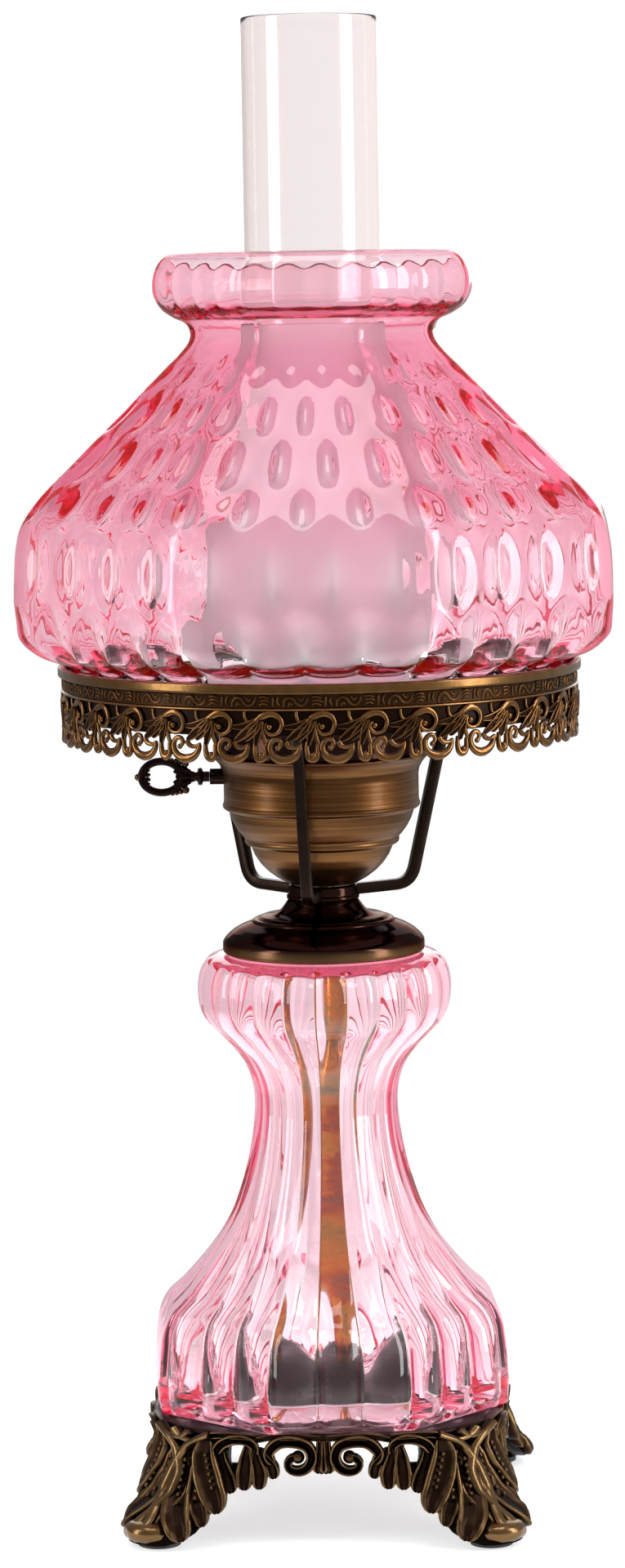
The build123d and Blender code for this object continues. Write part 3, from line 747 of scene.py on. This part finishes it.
# ---- gallery ring ----
RING_R = 103.4
RING_SECTION = [(102.2, 335.9), (103.8, 335.9), (104.25, 336.35), (103.9, 336.85), (103.35, 337.1),
                (103.35, 342), (103.9, 342.25), (105.1, 342.5), (105.3, 343), (105.3, 345.5),
                (105, 346.1), (104.3, 346.3), (102.9, 346.3), (102.2, 345.9)]
FRIEZE_Z, BORDER_Z = 339.6, 335.9       # middle of the frieze, top of the border
SEAM = -25                              # azimuth of the seam, in degrees from the front
BORDER_WIDER, LEAF_FLATTER = 1.42, 0.72
# Strokes of one repeat of the pierced border, across from the volute and down from the bead:
# section, path, widths, heights, lift.
BORDER = [
    ("round", [(-6.8, -4.3), (-4.4, -2.3), (-0.8, -1), (2.4, -2.2), (3.7, -5.2), (2.4, -8),
     (-0.2, -9), (-2.4, -8), (-3.1, -6), (-2, -4.6)], [1.6, 2.2, 2.3, 2, 1.6, 1.4, 1.2, 1.2, 1.1,
     0.9], [2, 2.4, 2.4, 2.2, 2, 1.8, 1.6, 1.6], 0.3),
    ("ball", (-1.2, -6.1), 1.15),
    ("round", [(-11.1, -0.3), (-10.9, -2.6), (-9.9, -4.2), (-8.2, -4.3), (-5.6, -3.2)], [0.9, 1,
     1.2, 1.3, 1.5], [1.4, 1.5], 0),
    ("leaf", [(-4.8, -3), (-8.4, -5), (-12, -6), (-16.2, -6.2)], [1.6, 2.2, 1.9, 0.9], [1.6, 1.5,
     1], 0.1),
    ("leaf", [(-4.6, -3.3), (-7.8, -6.3), (-11.2, -9), (-15.2, -11.9)], [1.4, 2.6, 2.5, 1], [1.8,
     1.8, 1.1], 0.3),
    ("leaf", [(-4.4, -3.6), (-6.4, -6.7), (-8.6, -9.2), (-10.9, -11.6)], [1.3, 2.3, 2.1, 0.9],
     [1.9, 1.8, 1.1], 0.5),
    ("leaf", [(-4.2, -3.6), (-5.1, -7.4), (-5.9, -10.6), (-6.6, -13.6)], [1.3, 2.2, 2, 0.9], [1.9,
     1.8, 1.2], 0.5),
    ("round", [(-4, -3.8), (-4, -7.4), (-3.4, -10.6), (-2.4, -13.2)], [1.2, 1.4, 1.3, 1.1], [1.7,
     1.6, 1.3], 0.4),
    ("round", [(2, -14.2), (3.2, -12.9), (2.6, -11.2), (0.8, -10.9), (-0.9, -12.6), (-1, -15.4),
     (0.9, -17.9), (4.4, -19), (8.2, -17.8), (10.2, -15.2), (10.6, -12.6)], [1.2, 1.3, 1.4, 1.6,
     1.8, 2.2, 2.5, 2.5, 2.1, 1.6, 1.2], [1.5, 1.7, 1.9, 2.3, 2.5, 2.5, 2.2, 1.7], 0.2),
    ("ball", (1.9, -14.3), 1),
    ("round", [(5, -11.9), (6.4, -13.7), (8.8, -14.1), (11.2, -12.8)], [1.5, 1.4, 1.1, 0.8], [1.9,
     1.5], 0.3),
    ("round", [(-7, -12), (-7.1, -15.4), (-6.2, -18.2), (-4.6, -18.8), (-3.2, -17.4), (-3, -14.6),
     (-3.2, -12.6)], [1.1, 1.3, 1.7, 1.9, 1.6, 1.3, 1], [1.6, 2, 2.2, 2, 1.6], 0.1),
    ("ball", (-4.6, -17.1), 1.1)]
# Low relief of the frieze above it.
FRIEZE = [
    ([(-8.6, -2), (-8.4, 0.3), (-6.6, 1.7), (-4.8, 0.9), (-3.6, -1), (-1.8, -1.7), (0, -0.8),
     (0.8, 1.6)], 0.85),
    ([(-6.9, -2), (-6.2, -0.6), (-5.4, -1.5)], 0.7),
    ([(-3.3, 1.7), (-2, 0.4), (-1, 1.2)], 0.7),
    ([(2.2, 1.6), (4, 1.9), (5.8, 1)], 0.8),
    ([(2.4, 0.2), (4.2, 0.6), (6.2, -0.2)], 0.8),
    ([(2.2, -1.5), (3.8, -0.7), (5.6, -1.5)], 0.8),
    ([(7.4, -1.9), (7.6, 1.9)], 0.7),
    ([(9.9, 1.8), (9.1, 0.1), (9.9, -1.8)], 0.7)]


def ball(shape, centre, radius, flat=(1, 1, 1), rings=7, wear=0.9):
    """Small bead; flat squashes it along each axis."""
    t = np.linspace(0.12, math.pi - 0.12, rings)[:, None]
    grid = polar(np.sin(t), around(10), np.cos(t))
    shape.add_closed(np.array(centre) + grid * radius * np.array(flat), wear)


def on_ring(azimuth, top, radius=RING_R):
    """Place function for strokes on the ring, centred on an azimuth in radians."""
    def place(across, up, out):
        turn = azimuth + across / RING_R
        r = radius + out
        return np.stack([r * np.cos(turn), r * np.sin(turn), top + up + 0 * turn], axis=-1)
    return place


def gallery_ring():
    """Plain lip and embossed frieze, with the pierced border hanging from it."""
    band = cast_material("ring_brass_plain", (0.034, 0.015, 0.0055), (0.125, 0.058, 0.019),
                         (0.3, 0.165, 0.056), 0.28, 0.6, (0.18, 0.55, 1))
    scroll = cast_material("ring_brass_relief", (0.014, 0.0055, 0.0025), (0.07, 0.028, 0.0095),
                           (0.23, 0.114, 0.04), 0.32, 0.8, (0.22, 0.62, 1.05))
    section = rounded(RING_SECTION, 0.3, 3, True)[::-1]
    r, z = section.T
    tone = np.where(z < 336.9, 0.9, np.where(z < 342.2, 0.12, 0.72))
    shape = spun(section, 384, np.where(r < 102.8, 0.2, tone))
    for motif in range(MOTIFS):
        place = on_ring(FRONT + 2 * math.pi * motif / MOTIFS, FRIEZE_Z)
        for path, width in FRIEZE:
            stroke(shape, place, path, [width, width * 1.35, width], [0.9, 1.2, 0.9],
                   steps=10, lift=-0.05, wear=0.5)
    shape.build("ring_band_embossed", band, "lamp", ["ring_band"], "ring_brass")

    first = Shape()
    place = on_ring(0, BORDER_Z, RING_R - 0.6)
    for kind, path, *rest in BORDER:
        if kind == "ball":
            ball(first, place(*path, 0.4), rest[0] * 1.1, (0.9, 1, 1))
            continue
        widths, heights, lift = rest
        widths = [BORDER_WIDER * w for w in widths]
        if kind == "leaf":
            stroke(first, place, path, widths, [LEAF_FLATTER * h for h in heights], LEAF,
                   LEAF_WEAR, 16, lift)
        else:
            stroke(first, place, path, widths, heights, steps=30, lift=lift)
    border = Shape()
    for motif in range(MOTIFS):
        border.merge(first, FRONT + 2 * math.pi * (motif + 0.35) / MOTIFS)
    # The band behind the upper scrolls has the lowest wear, so it is nearly black: painted shade in
    # the gaps between the scrolls.
    backing = rounded([(101.9, 326.2), (102.5, 326.2), (102.5, 336.1), (101.9, 336.1)], 0.2, 2,
                      True)
    border.add(turned(backing[::-1], 256), 0.02)
    border.build("ring_filigree_scrolls", scroll, "lamp", ["ring_filigree"], "ring_brass")

    dark = lacquer_material("seam_shadow", (0.01, 0.006, 0.004), (0.03, 0.02, 0.01), 0.5)
    line = Shape()
    stroke(line, on_ring(FRONT + math.radians(SEAM), FRIEZE_Z), [(0, -2.9), (0, 2.9)], [0.35],
           [0.5], steps=4, lift=0.1)
    line.build("ring_seam", dark, "lamp", [], "ring_brass")


# ---- cast base ----
BASE_SECTIONS = [(0, 79, 13), (2, 79, 14), (6, 78.3, 16), (10, 75.8, 19.5), (14, 73, 24),
                 (21, 69.2, 30), (29, 66.8, 34), (37, 66.2, 38), (44.5, 67.6, 42)]


def base_size(z):
    """Half width and corner radius of the casting at a height."""
    at, half, corner = np.array(BASE_SECTIONS).T
    return np.interp(z, at, half), np.interp(z, at, corner)


def on_leg(side):
    """Place function on the front left leg, from the middle of the front round the corner.

    Paths are given as seen from the front; past the diagonal they go on along the side face.
    """
    def place(x, z, out):
        half, corner = base_size(z)
        flat = half - corner
        diagonal = flat + corner * math.sin(math.pi / 4)
        beyond = -x > diagonal
        along = np.where(beyond, 2 * diagonal + x, -x)
        turn = np.arcsin(np.clip((along - flat) / corner, 0, math.sin(math.pi / 4)))
        px = np.where(along > flat, -flat - np.sin(turn) * (corner + out), -along)
        py = np.where(along > flat, -flat - np.cos(turn) * (corner + out), -half - out)
        px, py = np.where(beyond, py, px), np.where(beyond, px, py)
        return np.stack([px, py, z] if side > 0 else [py, px, z], axis=-1)
    return place


# Half of one leg and its share of the apron, seen from the front: path, widths, heights, lift.
LEG_LEAVES = [
    ([(-56.4, 38), (-59, 31), (-61.6, 24), (-65.4, 16.4), (-70.4, 10)], [5, 8.4, 9.4, 8.6, 6],
     [3.4, 4.6, 4.8, 3.8, 2.4], -0.4),
    ([(-51.8, 36), (-54.2, 28), (-56.4, 20), (-57.6, 12.4), (-56.4, 4.4)], [4.6, 8, 9.6, 11, 9.6],
     [3.6, 4.8, 5.4, 5.6, 4], 0.2),
    ([(-46.6, 34), (-49, 27), (-49.6, 19.5), (-48.6, 13), (-48, 9.6)], [4, 7, 8, 7.6, 5.6], [3.4,
     4.4, 4.8, 4.4, 3.4], -0.2),
    ([(-44.6, 42.6), (-45.6, 36), (-44.6, 28), (-43.2, 20.5), (-42.4, 14.4)], [5, 9, 10.6, 10.2,
     7.8], [4.4, 5.6, 6.2, 5.8, 4.2], 1),
    ([(-40.6, 39), (-39.8, 33), (-38.2, 27), (-36.6, 21.4)], [3.4, 5.4, 7.6, 6.2], [3.4, 4.4, 4.6,
     3.4], -0.2)]
LEG_RIBS = [
    ([(-44, 44), (-50.8, 40), (-56, 33), (-60.3, 25), (-63.4, 18), (-66.6, 12), (-70.6, 8)], 3.2,
     5.6, 3),
    ([(-58.4, 44.2), (-55.6, 41.6), (-51.6, 40.9), (-47.6, 42.4)], 2.8, 4.6, 2.4)]
APRON_LEAVES = [
    ([(-29.4, 41), (-30.6, 35), (-31.4, 29), (-31.8, 22.6)], [3.4, 5.4, 7.2, 5.8], [3.2, 4.4, 4.6,
     3.4], 0.4),
    ([(-28, 40.6), (-27, 35), (-25.6, 29.4), (-25.8, 23)], [3.4, 5, 6.8, 5.4], [3.2, 4.4, 4.6,
     3.4], 0.8),
    ([(-26, 39), (-23.2, 35), (-20.6, 31.4), (-19.8, 26.8)], [3, 4.2, 5.6, 4.8], [3, 3.8, 4, 3],
     0.2)]
APRON_SCROLLS = [
    ([(-42, 36.6), (-39.4, 40.6), (-34.6, 43), (-29.8, 42.6), (-27.2, 39.8), (-27.8, 36.8)], [3.4,
     4, 4.2, 4, 3.6, 3], [3.8, 4.4, 4], 1),
    ([(-19.9, 33), (-21.9, 37), (-17.9, 41.7), (-11.4, 42.3), (-6.3, 40.2), (-4.6, 35.8),
     (-6.3, 31.9), (-9.8, 30.3), (-13.4, 31.2), (-14.2, 33.6), (-12.6, 35.4), (-10.4, 35.6)], [3.4,
     4.4, 5, 5, 5, 4.8, 4.6, 4.4, 4, 3.4, 3.2, 3.2], [4, 4.6, 5, 5, 4.8, 4.2], 0.8),
    ([(-27, 42.6), (-22, 43.7), (-14, 44.1), (-6, 43.6), (0, 43.2)], [2.6, 3, 2.8, 2.6], [3.6, 3.4,
     3.2], -0.2),
    ([(-45, 43.4), (-40, 44.2), (-34, 44.3), (-26, 43.8)], [2.8, 2.8, 2.6], [3.6, 3.4, 3.2], -0.2)]
TOE_CENTRE, TOE_HALF = (-70.3, -70.3, 6.5), (9, 10.4, 4.5)
BEAD_LINES = [((-53, 33), (-56.6, 18), 7), ((-48.2, 30), (-49.8, 20), 5),
              ((-45.4, 36), (-43.6, 24), 6)]


def leg_core(shape):
    """Thick body of a leg behind its leaves."""
    heights = np.linspace(2.2, 43.6, 26)
    edge = np.interp(heights, [2.2, 4, 7, 12, 17, 24, 30, 38, 43],
                     [-63, -56.5, -51, -46.2, -42.6, -39.6, -38.6, -38.6, -39])
    t = np.linspace(0, 1, 16)
    rows = []
    for z, x_edge in zip(heights, edge):
        half, corner = base_size(z)
        x_mid = -(half - corner) - corner * math.sin(math.pi / 4)
        x = x_edge + (x_mid - x_edge) * t
        zs = np.full_like(x, z)
        outer_front, inner_front = (on_leg(1)(x, zs, out) for out in (-0.4, -5.6))
        outer_side, inner_side = (on_leg(-1)(x, zs, out) for out in (-0.4, -5.6))
        rows.append(np.vstack([outer_front, outer_side[-2::-1], inner_side, inner_front[-2::-1]]))
    shape.add_closed(np.array(rows), 0.05)


def apron_core(shape, place):
    """Web behind the leaves of the apron."""
    x = np.linspace(-41, -22, 30)
    low = np.interp(x, [-41, -34, -26, -22], [24, 26, 27, 29])
    top = np.interp(x, [-41, -39, -38, -32.6, -31.6, -27.6, -26.6, -22],
                    [43.6, 43.6, 32, 32, 43, 43, 34, 31])
    loop = [(low, -1), (0.5 * (low + top), -0.6), (top, -0.6), (top, -4), (low, -3.4)]
    shape.add_closed(np.stack([place(x, z, out) for z, out in loop], axis=1), 0.05)


RIM_HALF, RIM_CORNER = 70.4, 50
BAR_Z = 43.4                            # height of the bars across the open middle


def rim_run():
    """Rounded square plan of the rim: corner centres and outward directions."""
    flat = RIM_HALF - RIM_CORNER
    run = []
    for quarter, (sx, sy) in enumerate(QUARTERS):
        for turn in np.linspace(0, math.pi / 2, 13):
            a = quarter * math.pi / 2 + turn
            run.append((sx * flat, sy * flat, math.cos(a), math.sin(a)))
    return np.array(run)


def top_frame(shape):
    """Moulded rim that the glass stands on, with an open middle crossed by four bars."""
    run = rim_run()
    section = rounded([(-0.4, 42.5), (0.2, 43.6), (-0.2, 44.8), (-2, 45.1), (-3.4, 44.4),
                       (-8.6, 44.2), (-9, 42.7)], 0.45, 3, True)
    grid = np.zeros((len(section), len(run), 3))
    for i, (out, z) in enumerate(section):
        edge = run[:, :2] + run[:, 2:] * (RIM_CORNER + out)
        if out < -6:                      # the inner edge is round
            edge *= (RIM_HALF + out) / np.linalg.norm(edge, axis=1)[:, None]
        grid[i, :, :2], grid[i, :, 2] = edge, z
    shape.add(grid, np.where(section[:, :1] > -1.5, 0.35, 0))
    boss = rounded([(6.8, 42.6), (35, 42.8), (36.6, 43.5), (35, 44.3), (6.8, 44.4)], 0.4, 2, True)
    shape.add(turned(boss, 96), 0.1)

    def place(x, y, out):
        return np.stack([x, y, BAR_Z + out], axis=-1)

    for sx, sy in QUARTERS:
        stroke(shape, place, [(r * sx, r * sy) for r in (27, 40, 52.5)], [9, 7, 9],
               [1.6], steps=12, wear=0.1)


def cast_base():
    """Four leaf legs and the pierced scroll apron between them."""
    leg = Shape()
    leg_core(leg)
    for side in (1, -1):
        place = on_leg(side)
        apron_core(leg, place)
        for path, widths, heights, lift in LEG_LEAVES + APRON_LEAVES:
            stroke(leg, place, path, widths, heights, SPOON, SPOON_WEAR, 30, lift, tip=2)
        for path, width, height, lift in LEG_RIBS:
            stroke(leg, place, path, [width, width * 1.1, width * 0.7], [height], steps=30,
                   lift=lift)
        for path, widths, heights, lift in APRON_SCROLLS:
            stroke(leg, place, path, widths, heights, CHANNEL, CHANNEL_WEAR, 42, lift, tip=2)
        for first, last, count in BEAD_LINES:
            for x, z in np.linspace(first, last, count):
                ball(leg, place(x, z, 4), 0.95, rings=5, wear=0.8)
        ball(leg, place(-10.2, 35.6, 2), 2.7, rings=9, wear=0.75)
        stroke(leg, place, [(-1, 42.6), (-1.1, 36), (-1.7, 28.9)], [3.6, 4.6, 8.4],
               [3.6, 4, 4.4], SPOON, KEYSTONE_WEAR, 16, 0.6)
    toe = Shape()
    ball(toe, (0, 0, 0), 1, rings=15, wear=1)
    points = np.vstack(toe.points)
    squared = np.sign(points) * np.abs(points) ** 0.8
    ahead, aside, up = (squared * TOE_HALF).T
    ahead -= 1.6 * squared[:, 1] ** 2
    toe.points = [TOE_CENTRE + np.stack([(aside - ahead) / 2**0.5, (-ahead - aside) / 2**0.5, up],
                                        axis=1)]
    leg.merge(toe)
    base = Shape()
    for quarter in range(4):
        base.merge(leg, quarter * math.pi / 2)
    bronze = cast_material("antique_bronze_cast", (0.006, 0.0028, 0.0017), (0.024, 0.0108, 0.005),
                           (0.17, 0.099, 0.042), 0.34, 1, (0.15, 0.6, 1.15))
    base.build("base_casting_leafy", bronze, "lamp", ["base_casting"], "antique_bronze")
    top = Shape()
    top_frame(top)
    top.build("base_top_frame", bronze, "lamp", [], "antique_bronze")


# ---- turn key ----
KEY_Z = 299.7
LOOP_X = -64.6
# Strokes and beads of the key's upper half: path, widths, heights, steps; x, height, radius.
KEY_STROKES = [
    ([(-69.6, 3.4), (-70.8, 2.6), (-71.2, 1.2), (-70, 0.8), (-69.3, 1.6)], [2, 2.2, 2, 1.6, 1.4],
     [3, 2.8], 16),
    ([(-60.8, 5.4), (-58.2, 4.2), (-56, 3), (-53.2, 1.7), (-50.6, 1)], [2.6, 2.8, 2.4, 1.8, 1.6],
     [3.4, 3.2, 3, 2.6], 20),
    ([(-54.9, 5.2), (-54.6, 3.4), (-52.6, 2.2)], [1.4, 1.2, 1], [2], 12),
    ([(-59.4, 2.8), (-57.6, 1.6), (-54.6, 0.7)], [2.2, 2.2, 1.4], [3.2, 2.8], 14)]
KEY_BEADS = [(-60.3, 6.9, 0.85), (-58.6, 6.5, 1.05), (-56.9, 6, 1.2), (-54.9, 5.4, 1.55)]
# Radius of the shaft and its bead, from the loop inwards.
SHAFT = [(-52.4, 1.5), (-50.6, 1.8), (-49.9, 2.1), (-49.8, 3.2), (-49.5, 3.5), (-48.4, 3.5),
         (-48.1, 3.2), (-47.9, 2.3), (-47.5, 2.1), (-45.6, 2.1), (-45.2, 2)]


def cast_key():
    """Ornate open loop with beads, curls and a leaf stem."""
    shape = Shape()

    def place(across, up, out):
        return np.stack([across, out, KEY_Z + up], axis=-1)

    loop = [(LOOP_X + 8.1 * math.cos(t), 6.35 * math.sin(t)) for t in around(16)]
    stroke(shape, place, loop, [3.2], [3.4], steps=72, closed=True)
    for up in (1, -1):
        for path, widths, heights, steps in KEY_STROKES:
            stroke(shape, place, [(x, z * up) for x, z in path], widths, heights, steps=steps)
        for x, z, radius in KEY_BEADS:
            ball(shape, (x, 0, KEY_Z + z * up), radius, rings=9, wear=0.8)
    stroke(shape, place, [(-58.8, 0), (-56, 0), (-51, 0)], [1.6, 2.6, 2],
           [3.8, 3.6, 3.2], steps=14)
    ball(shape, (-74.1, 0, KEY_Z), 1.5, rings=9)
    x, r = np.array(SHAFT).T[:, :, None]
    a = around(40)
    shape.add_closed(np.stack([x + 0 * a, r * np.cos(a), KEY_Z + r * np.sin(a)], axis=2), 0.4)
    metal = cast_material("key_bronze_cast", (0.013, 0.0065, 0.005), (0.042, 0.022, 0.014),
                          (0.16, 0.085, 0.045), 0.26, 0.5, (0.3, 0.7, 1.1))
    shape.build("turn_key_ornate", metal, "key", ["turn_key"], "key_bronze")


def main():
    finishes()
    shade_glass()
    font_glass()
    chimney_glass()
    turned_metal()
    bar_arms()
    gallery_ring()
    cast_base()
    cast_key()


def finishes():
    """Gives every CAD node that still shows a finish of its own."""
    slots = {row["slot"]: row for row in frame["record"]["materials"]}
    used = {"gold_tube": gold_tube_material(),
            "dark_bronze": lacquer_material("dark_bronze_hidden", (0.014, 0.0065, 0.0045),
                                            (0.1, 0.06, 0.03)),
            "clear_glass": clear_material("clear_glass_plain"),
            "bulb_clear": clear_material("bulb_glass_clear"),
            "centring_cup": dark_paint_material("centring_cup_dark"),
            "font_gasket": silicone_material("font_gasket_milky", (0.86, 0.8, 0.81)),
            # The cap gasket's pink colour and glow are painted light passed on from the pink glass.
            "cap_gasket": silicone_material("cap_gasket_pink", (0.86, 0.36, 0.48), 0.25)}
    for name, obj in frame["nodes"].items():
        slot = "dark_bronze" if name == "key_bushing" else NODE_SLOT[name]
        slot = name if name in used else slot
        if slot not in used:
            used[slot] = plain_material(slots[slot])
        obj.data.materials.clear()
        obj.data.materials.append(used[slot])


# ---- studio ----
CAMERA_FROM_AXIS = 1.9347
CAMERA_HEIGHT = 0.5144
CAMERA_AZIMUTH = 3.0
AIM_HEIGHT = 0.2962
CAMERA_LEFT = 0.0035
CAMERA_ROLL = -0.97
LENS = 110.6


def camera():
    data = bpy.data.cameras.new("camera")
    data.lens = LENS
    data.sensor_width = 36
    obj = bpy.data.objects.new("camera", data)
    bpy.context.scene.collection.objects.link(obj)
    turn = math.radians(CAMERA_AZIMUTH)
    place = Vector((math.sin(turn) * CAMERA_FROM_AXIS, -math.cos(turn) * CAMERA_FROM_AXIS,
                    CAMERA_HEIGHT))
    ahead = Vector((0, 0, AIM_HEIGHT)) - place
    aim = ahead.to_track_quat("-Z", "Y").to_matrix()
    place -= aim.col[0] * CAMERA_LEFT
    aim = aim @ Matrix.Rotation(math.radians(CAMERA_ROLL), 3, "Z")
    obj.matrix_world = Matrix.Translation(place) @ aim.to_4x4()
    data.clip_start = 0.05
    data.clip_end = 60
    bpy.context.scene.camera = obj


def area_light(name, place, aim, size, power, through=False):
    data = bpy.data.lights.new(name, "AREA")
    data.shape = "RECTANGLE"
    data.size, data.size_y = size
    data.energy = power
    obj = bpy.data.objects.new(name, data)
    obj.location = place
    obj.rotation_mode = "QUATERNION"
    obj.rotation_quaternion = (Vector(aim) - Vector(place)).to_track_quat("-Z", "Y")
    obj.visible_camera = False
    obj.visible_transmission = through
    bpy.context.scene.collection.objects.link(obj)


def world():
    """White sweep straight on; a studio that is dimmer overhead and in front in the glass."""
    scene_world = bpy.data.worlds.new("studio")
    bpy.context.scene.world = scene_world
    scene_world.use_nodes = True
    tree = Tree(scene_world.node_tree)
    tree.tree.nodes.clear()
    path = tree.add("ShaderNodeLightPath").outputs
    split = tree.add("ShaderNodeSeparateXYZ")
    tree.link(tree.add("ShaderNodeTexCoord").outputs["Generated"], split.inputs[0])
    x, y, z = split.outputs

    def light(strength, colour=(1, 1, 1, 1)):
        node = tree.add("ShaderNodeBackground", Color=colour)
        tree.put(node.inputs["Strength"], strength)
        return node.outputs[0]

    room = tree.math("MULTIPLY", tree.to_range(z, -0.3, 0.9, 0.38, 0.6),
                     tree.to_range(x, -0.8, 0.8, 0.75, 1.2))
    through = tree.math("MULTIPLY", tree.to_range(z, 0.45, 0.85, 1, 0.6),
                        tree.to_range(y, -0.7, 0, 0.8, 1))
    through = tree.math("MULTIPLY", through, tree.to_range(x, -0.4, 0.3, 0.82, 1.12))
    shown = tree.choose(path["Is Glossy Ray"], light(1), light(room, (1, 0.975, 0.95, 1)))
    shown = tree.choose(path["Is Transmission Ray"], shown, light(through))
    tree.link(shown, tree.add("ShaderNodeOutputWorld").inputs["Surface"])


def floor():
    """Pale round floor that fades out before its edge."""
    rings = [0.5, 50, 100, 200, 300, 450, 600, 800, 1100]
    grid = turned([(r, -0.05) for r in rings], 96)
    m = Nodes("pale_floor")
    m.set(Base_Color=(0.6, 0.6, 0.6, 1), Roughness=0.85, Emission_Color=(1, 1, 1, 1),
          Emission_Strength=0.6)
    spot = m.add("ShaderNodeVectorMath", operation="LENGTH")
    m.link(m.place(), spot.inputs[0])
    fade = m.to_range(spot.outputs["Value"], 0.14, 0.62)
    clear = m.add("ShaderNodeBsdfTransparent").outputs[0]
    m.link(m.choose(fade, m.shader.outputs[0], clear), m.output.inputs["Surface"])
    mesh_object("floor", grid.reshape(-1, 3), grid_faces(len(rings), 96, False),
                         m.material)


def lights():
    area_light("left", (-1.5, -0.7, 0.75), (0, 0, 0.3), (0.45, 1.6), 13, True)
    area_light("right", (1.5, -0.5, 0.75), (0, 0, 0.3), (0.45, 1.6), 18, True)
    area_light("above", (0, -0.3, 2.1), (0, 0, 0.3), (1.2, 1), 16)
    area_light("behind", (0, 1.8, 1), (0, 0, 0.35), (1.6, 1.2), 10)


BOUNCES = 28        # light crosses many layers of glass here
# Which finish each CAD node has.
NODE_SLOT = {row["node"]: row["material_slot"] for row in frame["record"]["subparts"]}

scene = bpy.context.scene
scene.view_settings.view_transform = "Standard"
scene.cycles.max_bounces = BOUNCES
scene.cycles.transmission_bounces = BOUNCES
scene.cycles.glossy_bounces = BOUNCES
main()
camera()
world()
lights()
floor()
